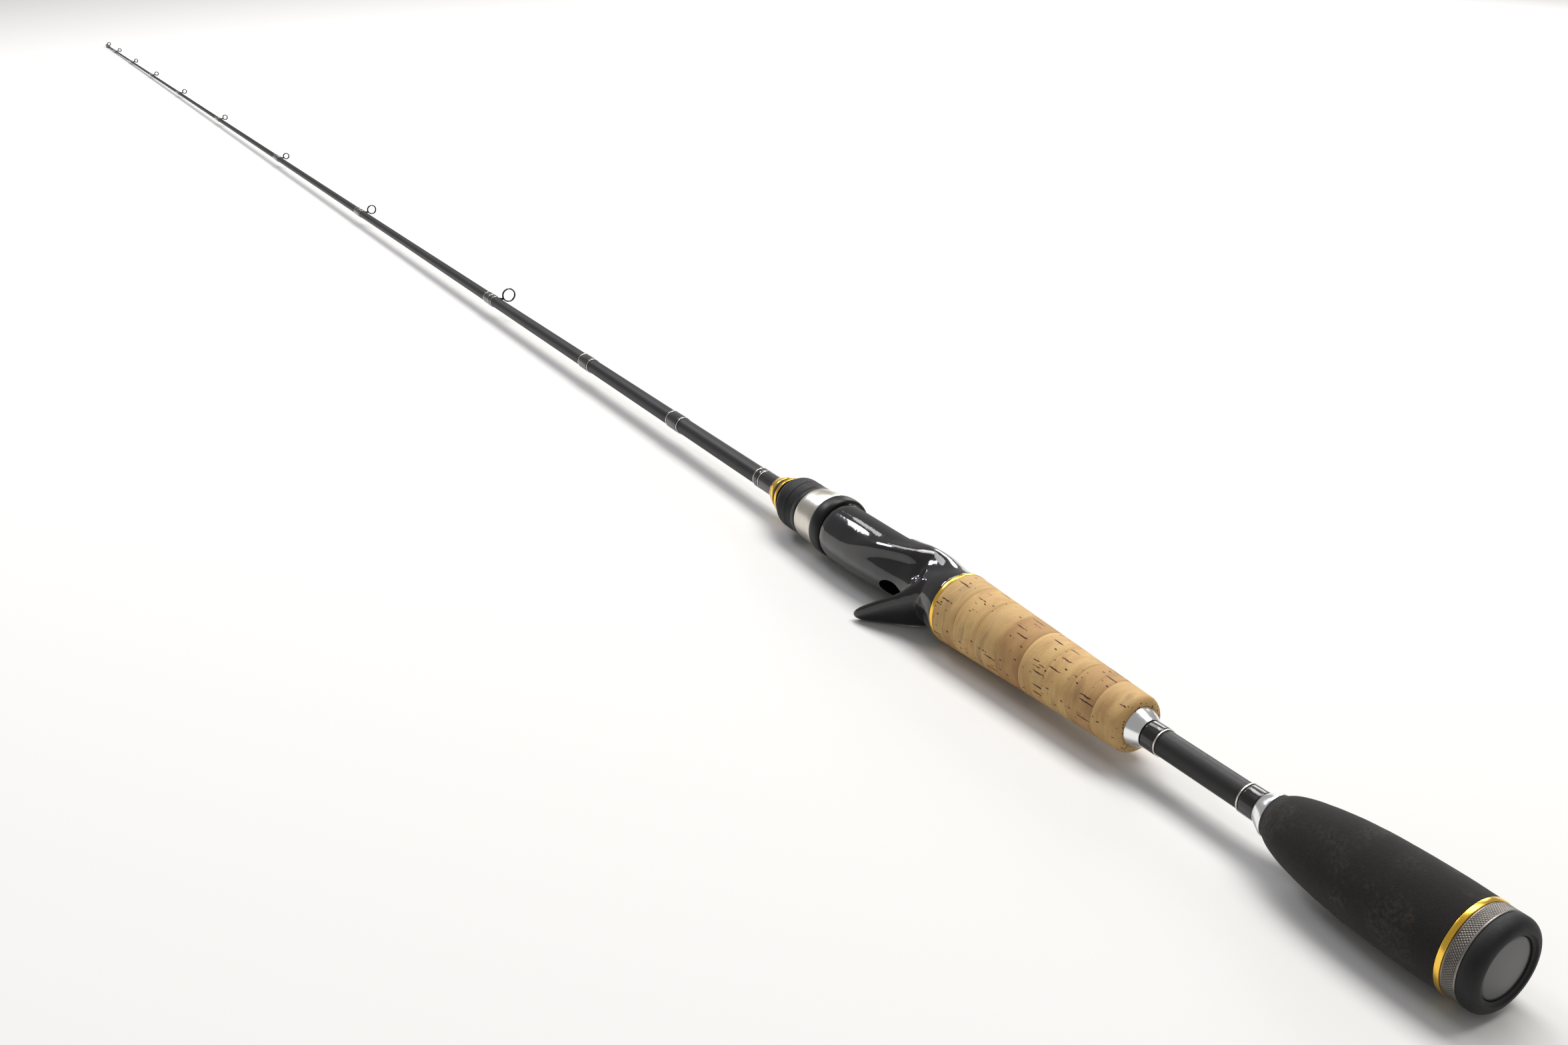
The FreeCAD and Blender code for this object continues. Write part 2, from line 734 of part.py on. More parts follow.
# ---- the lock nut ----------------------------------------------------------------------------------------
# A knurled nut runs on the barrel and pushes the hood back. Its nose carries a gold ring and a gold cone.
nose_radius = nut_front_radius - 1.7
nose_tip_radius = nut_mouth_radius + 0.55
nut_ring_end = nut_front + nut_ring_length
nut_step_end = nut_ring_end + nut_step_length
nut_end = nut_step_end + nut_cone_length
turned_piece("lock_nut", [
    (nut_start, thread_crest + running_gap),
    (nut_start, nut_radius),
    (nut_front - 7, nut_radius),
    (nut_front - 3.5, nut_radius - 0.5),
    (nut_front - 1.2, nut_radius - 1.4),
    (nut_front, nut_front_radius),
    (nut_front, nose_radius),
    (nut_ring_end, nose_radius),
    (nut_ring_end, nut_front_radius - 0.9),
    (nut_step_end, nut_front_radius - 1.6),
    (nut_step_end, nose_tip_radius),
    (nut_end - 1.6, nose_tip_radius),
    (nut_end - 1.6, nut_mouth_radius),
    (barrel_end + 0.4, nut_mouth_radius),
    (barrel_end + 0.4, thread_crest + running_gap),
])
plain_ring("nut_gold_ring", nut_front + 0.02, nut_ring_end - 0.02, nose_radius + glue_gap,
           nut_front_radius - 0.2)
turned_piece("nut_gold_cone", [
    (nut_step_end + 0.02, nose_tip_radius + 0.05),
    (nut_step_end + 0.02, nut_front_radius - 1.7),
    (nut_end, nut_mouth_radius + 0.5),
    (nut_end, nut_mouth_radius),
    (nut_end - 1.55, nut_mouth_radius),
    (nut_end - 1.55, nose_tip_radius + 0.05),
])


# ---- wraps ahead of the seat -----------------------------------------------------------------------------
first_band = front_wrap_end - 4.4
last_band = front_wrap_end - 0.4
half_band = trim_width / 2 + 0.05
join_solids("front_wrap", [
    thread_wrap("front_wrap_long", barrel_end + 1.2, first_band - half_band, wrap_thickness, keep),
    thread_wrap("front_wrap_short", first_band + half_band, last_band - half_band, wrap_thickness, keep),
])
join_solids("front_silver_trims", [
    trim_band("front_band_1", first_band, keep),
    trim_band("front_band_2", last_band, keep),
])
decor_starts = (decor_wrap_a, decor_wrap_b)
join_solids("decor_wraps", [
    thread_wrap(f"decor_wrap_{number}", start + half_band, start + decor_wrap_length - half_band,
                wrap_thickness, keep)
    for number, start in enumerate(decor_starts, 1)
])
join_solids("decor_silver_trims", [
    trim_band(f"decor_band_{number}", place, keep)
    for number, place in enumerate(
        [start + end for start in decor_starts for end in (as_size(0.0), decor_wrap_length)], 1)
])


# ---- the guides ------------------------------------------------------------------------------------------
# Single-foot guides: a thin metal hoop with a ceramic insert, and a foot towards the tip, bound under a
# wrap.
def guide_hoop(body, place, height, radius):
    """The hoop that holds the insert, turned about its own axis above the blank."""
    return revolve(body, [
        (place - hoop_width / 2, radius - hoop_wall),
        (place - hoop_width / 2, radius),
        (place + hoop_width / 2, radius),
        (place + hoop_width / 2, radius - hoop_wall),
    ], height=height)


def guide_insert(label, place, height, radius):
    """The ceramic insert: a short ring with eased mouths."""
    outer = radius - hoop_wall - 0.02
    inner = outer - insert_wall
    half = insert_width / 2
    return turned_piece(label, [
        (place - half, inner + 0.25),
        (place - half, outer),
        (place + half, outer),
        (place + half, inner + 0.25),
        (place + half - 0.35, inner),
        (place - half + 0.35, inner),
    ], height)


def guide(number, place, radius):
    """One line guide: frame, insert and wrap."""
    place, radius = as_size(place), as_size(radius)
    base = blank_radius(place + 2) + 0.05
    height = base + guide_clearance + radius
    foot_end = place + 3 + foot_length
    leg_width = radius * 0.15 + 0.8
    frame = new_body(f"guide_frame_{number}")
    guide_hoop(frame, place, height, radius)
    leg = new_sketch(frame, "XZ", "leg_and_foot")
    hoop_foot = height - radius + hoop_wall * 0.6
    polygon(leg, [
        (place - hoop_width / 2 + 0.1, hoop_foot),
        (place + hoop_width / 2 - 0.05, hoop_foot),
        (place + 3.2, base + foot_thickness),
        (foot_end, base + foot_thickness * 0.5),
        (foot_end, base),
        (place + 1.6, base),
    ])
    pad(frame, leg, leg_width)
    finish(frame)
    guide_insert(f"guide_ring_{number}", place, height, radius)

    wrap = new_body(f"guide_wrap_{number}")
    start = place + 3.7
    end = foot_end + 2.5
    thickness = as_size(0.6)
    revolve(wrap, [
        (start, blank_radius(start) + 0.01),
        (start + 0.7, blank_radius(start) + thickness),
        (end - 0.9, blank_radius(end) + thickness),
        (end, blank_radius(end) + 0.01),
    ])
    channel = wrap.newObject("PartDesign::SubtractiveBox", "foot_channel")
    channel.Placement.Base = FreeCAD.Vector(place.value, -leg_width.value / 2 - 0.05, 0)
    bind(channel, "Length", foot_end + 0.1 - place)
    bind(channel, "Width", leg_width + 0.1)
    bind(channel, "Height", base + foot_thickness + 0.05)
    finish(wrap)


for number, (place, radius) in enumerate(zip(guide_places, guide_rings), 1):
    guide(number, size(f"guide_place_{number}", place), size(f"guide_radius_{number}", radius))

# The tip-top: a tube glued over the blank's end, with its own hoop and insert.
tip_height = tip_tube_radius + tip_ring_radius - hoop_wall
tube_bore = blank_radius(tip_tube_start) + 0.03
tube_end = tip_ring_place - hoop_width / 2 + 0.1
tip_top = new_body("tip_top_tube")
revolve(tip_top, [
    (tip_tube_start, tube_bore),
    (tip_tube_start, tip_tube_radius),
    (tube_end, tip_tube_radius),
    (tube_end, 0.0),
    (tube_end - 0.5, 0.0),
    (tube_end - 0.5, tube_bore),
])
guide_hoop(tip_top, tip_ring_place, tip_height, tip_ring_radius)
finish(tip_top)
guide_insert("tip_top_ring", tip_ring_place, tip_height, tip_ring_radius)


# ---- checks and files ------------------------------------------------------------------------------------
doc.recompute()
for thing in doc.Objects:
    if "Invalid" in thing.State or "Error" in thing.State:
        raise RuntimeError(f"{thing.Label} failed to build: {thing.State}")
os.makedirs("parts", exist_ok=True)
for sub_part in sub_parts:
    shape = sub_part.Shape
    if shape.isNull() or not shape.isValid():
        raise RuntimeError(f"{sub_part.Label} has no valid shape")
    shape.exportStep(f"parts/{sub_part.Label}.step")
print(len(sub_parts), "sub-parts written")
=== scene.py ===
import json
from math import atan2, cos, hypot, pi, radians, sin

import bmesh
import bpy
import numpy as np
from mathutils import Matrix, Vector, noise


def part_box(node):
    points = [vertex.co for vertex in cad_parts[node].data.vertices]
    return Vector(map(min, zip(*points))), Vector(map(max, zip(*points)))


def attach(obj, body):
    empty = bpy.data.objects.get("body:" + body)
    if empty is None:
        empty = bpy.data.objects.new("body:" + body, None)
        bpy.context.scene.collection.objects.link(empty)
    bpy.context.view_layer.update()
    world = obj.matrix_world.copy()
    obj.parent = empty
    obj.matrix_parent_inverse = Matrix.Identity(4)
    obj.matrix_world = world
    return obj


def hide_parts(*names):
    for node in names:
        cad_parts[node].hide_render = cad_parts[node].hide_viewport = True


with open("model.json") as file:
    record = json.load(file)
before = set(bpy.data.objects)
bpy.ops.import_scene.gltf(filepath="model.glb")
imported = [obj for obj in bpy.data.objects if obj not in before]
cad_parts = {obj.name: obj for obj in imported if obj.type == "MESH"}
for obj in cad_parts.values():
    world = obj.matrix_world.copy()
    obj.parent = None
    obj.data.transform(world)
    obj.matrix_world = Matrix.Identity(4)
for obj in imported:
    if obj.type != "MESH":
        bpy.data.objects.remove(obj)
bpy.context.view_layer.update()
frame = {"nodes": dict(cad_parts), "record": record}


# ---- the rod's own line ------------------------------
# The rod lies on its trigger's tip, its seat's gold ring and its tip-top, rolled over and pitched a little down
# towards the tip. Each piece is shaped on the rod's own axes, x from the butt to the tip and z towards the guides,
# and is then laid down along that line.
mm = 0.001
mounts = {mount["name"]: mount for mount in frame["record"]["mounts"]}
rim_to_axis = 11.5 * mm

along = -Vector(mounts["butt_rim"]["axis"])
guide_side = Vector(mounts["reel_foot_deck"]["axis"])
across = guide_side.cross(along)
butt_centre = Vector(mounts["butt_rim"]["pos_m"]) - across * rim_to_axis
rod_line = Matrix.Translation(butt_centre) @ Matrix((along, across, guide_side)).transposed().to_4x4()
off_line = rod_line.inverted()


def reach(node):
    """Where a CAD node starts and ends along the rod, and how far it stands from the rod's axis."""
    spots = [off_line @ vertex.co for vertex in frame["nodes"][node].data.vertices]
    return min(s.x for s in spots), max(s.x for s in spots), max(hypot(s.y, s.z) for s in spots)


# ---- the butt cap ------------------------------------
# A moulded rubber cap with a big soft rim, pushed over the end of the butt plug. Its end is dished to take a disc,
# and a fine lip is moulded round the dish.
def turned(outline, steps=128):
    """A shape made by spinning an outline of (along, radius) points round the rod's axis."""
    shape = bmesh.new()
    rim = [shape.verts.new((x, 0, radius)) for x, radius in outline]
    line = [shape.edges.new(pair) for pair in zip(rim, rim[1:])]
    if outline[0][1] > 0 or outline[-1][1] > 0:
        line.append(shape.edges.new((rim[-1], rim[0])))
    bmesh.ops.spin(shape, geom=rim + line, cent=(0, 0, 0), axis=(1, 0, 0), angle=2 * pi, steps=steps, use_merge=True)
    bmesh.ops.remove_doubles(shape, verts=shape.verts, dist=1e-7)
    bmesh.ops.recalc_face_normals(shape, faces=shape.faces)
    return shape


def eased(shape, width, segments=3, corner=radians(30)):
    """Rounds every corner edge, as polishing or a mould does."""
    corners = [edge for edge in shape.edges if edge.calc_face_angle(0) > corner]
    bmesh.ops.bevel(shape, geom=corners, offset=width, offset_type="OFFSET", affect="EDGES", segments=segments,
                    profile=0.5, material=-1, clamp_overlap=True)
    return shape


def laid(name, shape, body, slot, material, *stands_for, sharp=radians(50)):
    """Lays a shape down on the rod's line as a finished piece that rides on a body."""
    bmesh.ops.transform(shape, matrix=rod_line, verts=shape.verts)
    for face in shape.faces:
        face.smooth = True
    for edge in shape.edges:
        edge.smooth = edge.calc_face_angle(0) < sharp
    mesh = bpy.data.meshes.new(name)
    shape.to_mesh(mesh)
    shape.free()
    mesh.materials.append(material)
    piece = bpy.data.objects.new(name, mesh)
    bpy.context.scene.collection.objects.link(piece)
    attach(piece, body)
    if stands_for:
        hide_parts(*stands_for)
    return piece


def wire(tree, kind, inputs, **settings):
    """Adds a node. An input that is another node's output is linked, and any other is set."""
    made = tree.nodes.new(kind)
    for name, value in settings.items():
        setattr(made, name, value)
    for name, value in inputs.items():
        if isinstance(value, bpy.types.NodeSocket):
            tree.links.new(value, made.inputs[name])
        else:
            made.inputs[name].default_value = value
    return made


def finish(name, **shader):
    """A new material with even values set on the shader's own sockets, its node tree, its shader, and places on the
    rod's own axes in millimetres from the butt's centre."""
    material = bpy.data.materials.new(name)
    material.use_nodes = True
    tree = material.node_tree
    surface = tree.nodes["Principled BSDF"]
    for socket, value in shader.items():
        surface.inputs[socket.replace("_", " ")].default_value = value
    place = wire(tree, "ShaderNodeMapping", {
        "Vector": wire(tree, "ShaderNodeTexCoord", {}).outputs["Object"], "Location": butt_centre,
        "Rotation": rod_line.to_euler(), "Scale": (mm, mm, mm)}, vector_type="TEXTURE").outputs["Vector"]
    return material, tree, surface, place


def worked(tree, operation, *values):
    """A sum on values, each a number or another node's output."""
    return wire(tree, "ShaderNodeMath", dict(enumerate(values)), operation=operation).outputs[0]


def mixed(tree, share, first, second, way="MIX"):
    """A colour between two others, by share."""
    return wire(tree, "ShaderNodeMixRGB", {"Fac": share, "Color1": first, "Color2": second}, blend_type=way).outputs[0]


def grain(tree, place, scale, detail=3.0, stretch=(1, 1, 1), distortion=0.0):
    """Noise whose grains are 1/scale millimetres long, stretched along the rod's axes."""
    stretched = wire(tree, "ShaderNodeVectorMath", {0: place, 1: stretch}, operation="MULTIPLY")
    return wire(tree, "ShaderNodeTexNoise", {
        "Vector": stretched.outputs[0], "Scale": scale, "Detail": detail, "Distortion": distortion}).outputs["Fac"]


def spread(tree, value, low, high, new_low, new_high):
    """Maps a value from one range to another, held at its ends."""
    return wire(tree, "ShaderNodeMapRange", {
        "Value": value, "From Min": low, "From Max": high, "To Min": new_low, "To Max": new_high}).outputs["Result"]


def colours(tree, value, *stops):
    """Colour by value, through (place, (r, g, b)) stops."""
    ramp = wire(tree, "ShaderNodeValToRGB", {"Fac": value})
    while len(ramp.color_ramp.elements) < len(stops):
        ramp.color_ramp.elements.new(0.5)
    for element, (place, colour) in zip(ramp.color_ramp.elements, stops):
        element.position = place
        element.color = (*colour, 1)
    return ramp.outputs["Color"]


def bumped(tree, surface, height, depth, socket="Normal"):
    """Raises the surface by a height from 0 to 1, depth millimetres deep."""
    bump = wire(tree, "ShaderNodeBump", {"Height": height, "Strength": 1.0, "Distance": depth * mm})
    tree.links.new(bump.outputs["Normal"], surface.inputs[socket])


_, cap_end, cap_radius = reach("butt_cap")
dish_radius = reach("butt_disc")[2] + 0.05 * mm
dish_floor = reach("butt_disc")[0]
rim_round = 3.4 * mm
lip_radius = dish_radius + 1.1 * mm
cap_outline = [(cap_end, cap_radius - 1.6 * mm), (cap_end, cap_radius - 0.35 * mm), (cap_end - 0.35 * mm, cap_radius)]
for step in range(13):
    turn = pi / 2 * step / 12
    cap_outline.append((rim_round - rim_round * sin(turn), cap_radius - rim_round + rim_round * cos(turn) ** 0.9))
cap_outline += [
    (0.02 * mm, lip_radius + 0.3 * mm), (0.12 * mm, lip_radius + 0.08 * mm), (0.4 * mm, lip_radius - 0.08 * mm),
    (0.62 * mm, lip_radius - 0.25 * mm), (0.7 * mm, dish_radius + 0.35 * mm), (0.8 * mm, dish_radius + 0.1 * mm),
    (1.0 * mm, dish_radius + 0.01 * mm), (dish_floor, dish_radius + 0.01 * mm), (cap_end, dish_radius + 0.01 * mm),
]

rubber, tree, surface, place = finish("butt_rubber", Roughness=0.62, Specular_IOR_Level=0.26)
dust = grain(tree, place, 0.16, 4.0)
speckle = grain(tree, place, 3.2, 2.0)
tree.links.new(colours(tree, dust, (0.35, (0.012, 0.012, 0.013)), (0.62, (0.017, 0.017, 0.018)),
                       (0.85, (0.032, 0.031, 0.031))), surface.inputs["Base Color"])
tree.links.new(spread(tree, speckle, 0.3, 0.7, 0.52, 0.7), surface.inputs["Roughness"])
bumped(tree, surface, speckle, 0.05)
laid("soft_butt_cap", turned(cap_outline, 160), "rod", "butt_rubber", rubber, "butt_cap")


# ---- the disc in the butt cap ------------------------
# A thin domed metal disc, painted satin grey over a fine brushed ground and pressed into the cap's dish.
disc_start, disc_end, disc_radius = reach("butt_disc")
disc_crown = 0.25 * mm
disc_outline = [(disc_end, 0.0), (disc_end, disc_radius - 0.1 * mm), (disc_start + 0.3 * mm, disc_radius)]
for step in range(11):
    share = 1 - step / 10
    disc_outline.append((disc_start - disc_crown * (1 - share ** 2), (disc_radius - 0.25 * mm) * share))

disc_paint, tree, surface, place = finish(
    "disc_paint", Metallic=0.3, Roughness=0.38, Coat_Weight=0.35, Coat_Roughness=0.15)
sweep = wire(tree, "ShaderNodeSeparateXYZ", {"Vector": place})
# painted reflection: the disc's colour runs from lighter on the side away from the guides to darker towards them
painted_reflection_share = spread(tree, sweep.outputs["Z"], -10.0, 10.0, 0.0, 1.0)
tree.links.new(colours(tree, painted_reflection_share, (0.1, (0.042, 0.042, 0.044)), (0.9, (0.02, 0.02, 0.021))),
               surface.inputs["Base Color"])
bumped(tree, surface, grain(tree, place, 6.0, 2.0, (1, 0.15, 1)), 0.006)
laid("satin_disc", turned(disc_outline), "rod", "grey_disc", disc_paint, "butt_disc")


# ---- the knurled ring --------------------------------
# An aluminium ring, rolled with a diamond knurl between two plain edges and anodised gunmetal. It is glued to the
# butt plug behind the gold ring.
def knurled(shape, start, end, skin, pitch, depth):
    """Presses crossed diagonal grooves into the outer skin between start and end, and marks how deep each is."""
    around = round(2 * pi * skin(start) / pitch)
    groove = shape.verts.layers.float.get("groove") or shape.verts.layers.float.new("groove")
    for vertex in shape.verts:
        x, y, z = vertex.co
        if start <= x <= end and hypot(y, z) > skin(x) - 0.1 * mm:
            turn = atan2(y, z) / (2 * pi) * around
            crossing = [abs((turn + way * (x - start) / (pitch * 1.3)) % 1 - 0.5) * 2 for way in (-1, 1)]
            edge = min(1.0, (x - start) / (0.2 * mm), (end - x) / (0.2 * mm))
            vertex[groove] = max(crossing) ** 2.2 * edge
            vertex.co.yz *= 1 - depth * vertex[groove] / hypot(y, z)
    return shape


ring_start, ring_end, ring_radius = reach("knurled_butt_ring")
ring_bore = 10.1 * mm
plain_edge = 0.45 * mm
knurl_pitch = 0.86 * mm
stations = [ring_start + plain_edge + (ring_end - ring_start - 2 * plain_edge) * step / 40 for step in range(41)]
ring_outline = [(ring_end, ring_bore), (ring_start, ring_bore), (ring_start, ring_radius - 0.25 * mm),
                (ring_start + 0.15 * mm, ring_radius - 0.05 * mm)]
ring_outline += [(x, ring_radius) for x in stations]
ring_outline += [(ring_end - 0.15 * mm, ring_radius - 0.05 * mm), (ring_end, ring_radius - 0.25 * mm)]

gunmetal, tree, surface, place = finish("gunmetal", Metallic=1.0, Roughness=0.4)
wear = grain(tree, place, 0.35, 5.0)
gunmetal_tone = colours(tree, wear, (0.3, (0.21, 0.195, 0.18)), (0.7, (0.31, 0.29, 0.265)))
# painted shade: the knurl's grooves are darkened almost to black by how deep each is
painted_groove_shade = wire(tree, "ShaderNodeAttribute", {}, attribute_name="groove").outputs["Fac"]
tree.links.new(mixed(tree, painted_groove_shade, gunmetal_tone, (0.035, 0.03, 0.028, 1)), surface.inputs["Base Color"])
tree.links.new(spread(tree, wear, 0.3, 0.7, 0.34, 0.46), surface.inputs["Roughness"])
diamonds = round(2 * pi * ring_radius / knurl_pitch)
plain_ring = turned(ring_outline, diamonds * 8)
knurled_ring = knurled(plain_ring, stations[0], stations[-1], lambda x: ring_radius, knurl_pitch, 0.24 * mm)
laid("gunmetal_ring", knurled_ring, "rod", "gunmetal", gunmetal, "knurled_butt_ring", sharp=radians(80))


# ---- the gold rings ----------------------------------
# Turned aluminium rings, polished and anodised gold: one ahead of the knurl, and one between the cork and the seat.
gold, tree, surface, place = finish("gold_anodising", Metallic=1.0, Roughness=0.2)
turning = grain(tree, place, 9.0, 2.0, (1, 0.02, 0.02))
tint = grain(tree, place, 0.08, 2.0)
tree.links.new(colours(tree, tint, (0.3, (0.95, 0.56, 0.06)), (0.7, (1.0, 0.66, 0.12))),
               surface.inputs["Base Color"])
tree.links.new(spread(tree, turning, 0.3, 0.7, 0.14, 0.28), surface.inputs["Roughness"])
bumped(tree, surface, turning, 0.008)

gold_rings = {"butt_gold_band": ("butt_gold_ring", 10.1 * mm), "seat_gold_band": ("seat_gold_ring", 6.7 * mm)}
for name, (node, bore) in gold_rings.items():
    start, end, radius = reach(node)
    ring = turned([(start, bore), (start, radius), (end, radius), (end, bore)], 160)
    laid(name, eased(ring, 0.22 * mm), "rod", "gold_anodised", gold, node)


# ---- the rear grip -----------------------------------
# Closed-cell foam, sanded to a soft barrel. Handling leaves it a little uneven, with dusty worn patches.
grip_start, grip_end, grip_radius = reach("rear_grip")
grip_span = grip_end - grip_start
grip_curve = [(0.0, 0.982), (0.12, 0.998), (0.3, 0.985), (0.5, 0.952), (0.64, 0.895), (0.76, 0.815), (0.86, 0.725),
              (0.93, 0.632), (0.975, 0.54), (1.0, 0.44)]
grip_shares = [share for share, _ in grip_curve]
grip_fullness = [fullness for _, fullness in grip_curve]


def flowing(places, values, softness, at):
    """A smooth run through (place, value) points: straight runs, then averaged over a moving window."""
    window = np.linspace(-softness, softness, 15)
    weight = np.cos(window / softness * pi / 2) ** 2
    held = np.clip(at + window, places[0], places[-1])
    return float(np.average(np.interp(held, places, values), weights=weight))


grip_outline = [(grip_end, 4.9 * mm), (grip_start, 10.1 * mm), (grip_start, grip_radius * 0.955)]
for step in range(97):
    share = step / 96
    fullness = flowing(grip_shares, grip_fullness, 0.05, share)
    grip_outline.append((grip_start + 0.15 * mm + (grip_span - 0.15 * mm) * share, grip_radius * fullness))
grip = turned(grip_outline, 160)
for vertex in grip.verts:
    if hypot(vertex.co.y, vertex.co.z) > 6 * mm:
        swell = noise.noise(vertex.co / (9 * mm)) * 0.05 * mm + noise.noise(vertex.co / (2.2 * mm)) * 0.025 * mm
        vertex.co.yz *= 1 + swell / (15 * mm)

foam, tree, surface, place = finish("foam", Specular_IOR_Level=0.28, Sheen_Weight=0.1, Sheen_Roughness=0.5)
cells = wire(tree, "ShaderNodeTexVoronoi", {"Vector": place, "Scale": 4.5, "Randomness": 1.0}).outputs["Distance"]
fuzz = grain(tree, place, 2.6, 5.0)
smudge = grain(tree, place, 0.07, 6.0, distortion=0.5)
dusty = spread(tree, smudge, 0.5, 0.7, 0.0, 0.5)
fine_dust = spread(tree, grain(tree, place, 0.75, 6.0), 0.4, 0.64, 0.0, 1.0)
dust = worked(tree, "MULTIPLY", dusty, fine_dust)
ground = colours(tree, fuzz, (0.3, (0.006, 0.0052, 0.005)), (0.55, (0.0125, 0.0112, 0.0105)),
                 (0.8, (0.028, 0.0245, 0.0225)))
tree.links.new(mixed(tree, dust, ground, (0.075, 0.056, 0.04, 1)), surface.inputs["Base Color"])
tree.links.new(spread(tree, fuzz, 0.3, 0.7, 0.86, 1.0), surface.inputs["Roughness"])
rough = worked(tree, "MULTIPLY_ADD", cells, 0.4, fuzz)
bumped(tree, surface, rough, 0.16)
laid("foam_rear_grip", grip, "rod", "foam_grip", foam, "rear_grip")


# ---- the winding checks ------------------------------
# Two turned and polished aluminium cones that close the ends of the grips on to the blank.
aluminium, tree, surface, place = finish("polished_aluminium", Metallic=1.0, Base_Color=(0.88, 0.89, 0.9, 1))
turning = grain(tree, place, 7.0, 3.0, (1, 0.015, 0.015))
tree.links.new(spread(tree, turning, 0.3, 0.7, 0.12, 0.26), surface.inputs["Roughness"])
bumped(tree, surface, turning, 0.01)

for name, node, towards_butt in (
        ("rear_check", "rear_winding_check", False), ("cork_check", "cork_winding_check", True)):
    start, end, radius = reach(node)
    wide, narrow = (end, start) if towards_butt else (start, end)
    way = 1 if narrow > wide else -1
    bore, nose = 4.9 * mm, 5.45 * mm
    cone = turned([
        (wide, bore), (wide, radius), (wide + way * 0.9 * mm * (2 if towards_butt else 1), radius),
        (narrow - way * 0.35 * mm, nose), (narrow, nose - 0.15 * mm), (narrow, bore)], 128)
    laid(name, eased(cone, 0.12 * mm, 2), "rod", "polished_aluminium", aluminium, node)


# ---- the blank ---------------------------------------
# One hollow carbon tube from the butt to the tip, rolled from cloth, ground, and sprayed with a thin matt varnish.
# Grinding leaves fine rings round it, and the tape it was baked in leaves a faint spiral.
blank_profile = {}
for vertex in frame["nodes"]["blank"].data.vertices:
    spot = off_line @ vertex.co
    station = round(spot.x, 4)
    blank_profile[station] = max(blank_profile.get(station, 0.0), hypot(spot.y, spot.z))
blank_stations, widest_ahead = [], 0.0
for station in sorted(blank_profile, reverse=True):
    if blank_profile[station] >= widest_ahead:
        widest_ahead = blank_profile[station]
        blank_stations.insert(0, station)


def blank_radius(x):
    """The blank's outer radius at a place along the rod."""
    return float(np.interp(x, blank_stations, [blank_profile[station] for station in blank_stations]))


tube_wall = 0.4 * mm
tube_places = np.linspace(blank_stations[0], blank_stations[-1], 91)
tube_outline = [(x, blank_radius(x)) for x in tube_places]
tube_outline += [(x, blank_radius(x) - tube_wall) for x in tube_places[::-6]]

carbon, tree, surface, place = finish("carbon", Specular_IOR_Level=0.24, Coat_Weight=0.06, Coat_Roughness=0.35)
split = wire(tree, "ShaderNodeSeparateXYZ", {"Vector": place})
turn = worked(tree, "ARCTAN2", split.outputs["Y"], split.outputs["Z"])
lap = worked(tree, "MULTIPLY", turn, 1 / (2 * pi))
spiral = worked(tree, "MULTIPLY_ADD", split.outputs["X"], 1 / 2.6, lap)
tape = worked(tree, "PINGPONG", spiral, 1.0)
ground_rings = grain(tree, place, 5.0, 4.0, (1, 0.06, 0.06))
mottle = grain(tree, place, 0.09, 4.0, (0.3, 1, 1))
tree.links.new(colours(tree, mottle, (0.3, (0.014, 0.014, 0.0145)), (0.7, (0.026, 0.025, 0.0255))),
               surface.inputs["Base Color"])
tree.links.new(spread(tree, ground_rings, 0.3, 0.7, 0.4, 0.52), surface.inputs["Roughness"])
relief = worked(tree, "MULTIPLY_ADD", ground_rings, 0.5, tape)
bumped(tree, surface, relief, 0.008)
laid("carbon_blank", turned(tube_outline, 48), "rod", "carbon_blank", carbon, "blank")


# ---- the handle wraps --------------------------------
# Fine black thread wound on the blank beside each winding check and flooded with clear resin, which sets glossy and
# slopes off at both ends. One band of silver thread closes each wrap on its bare side.
def wrap(start, end, height, steps=64):
    """A resin-covered wrap from start to end: full in the middle, sloping down to the blank at its ends."""
    slope = min(0.8 * mm, (end - start) * 0.3)
    ramp = [slope * step / 6 for step in range(7)]
    stations = [start + step for step in ramp] + [(start + end) / 2] + [end - step for step in reversed(ramp)]
    outline = []
    for x in stations:
        rise = min(1.0, (x - start) / slope, (end - x) / slope)
        outline.append((x, blank_radius(x) + 0.01 * mm + height * sin(rise * pi / 2) ** 0.7))
    outline += [(end, blank_radius(end) - 0.05 * mm), (start, blank_radius(start) - 0.05 * mm)]
    shape = turned(outline, steps)
    amber = shape.verts.layers.float.new("amber")
    for vertex in shape.verts:
        from_end = min(vertex.co.x - start, end - vertex.co.x)
        vertex[amber] = max(0.0, 1 - from_end / (0.55 * mm))
    return shape


resin, tree, surface, place = finish(
    "resin_over_thread", Roughness=0.3, Specular_IOR_Level=0.15, Coat_Weight=1.0, Coat_Roughness=0.04)
split = wire(tree, "ShaderNodeSeparateXYZ", {"Vector": place})
strands = worked(tree, "PINGPONG", split.outputs["X"], 0.11)
amber_edge = wire(tree, "ShaderNodeAttribute", {}, attribute_name="amber").outputs["Fac"]
tree.links.new(colours(tree, amber_edge, (0.25, (0.0045, 0.0042, 0.0045)), (0.75, (0.035, 0.012, 0.003)),
                       (1.0, (0.10, 0.035, 0.008))), surface.inputs["Base Color"])
bumped(tree, surface, spread(tree, strands, 0.0, 0.11, 0.0, 1.0), 0.03)
bumped(tree, surface, grain(tree, place, 0.35, 1.0, (0.4, 1, 1)), 0.02, "Coat Normal")

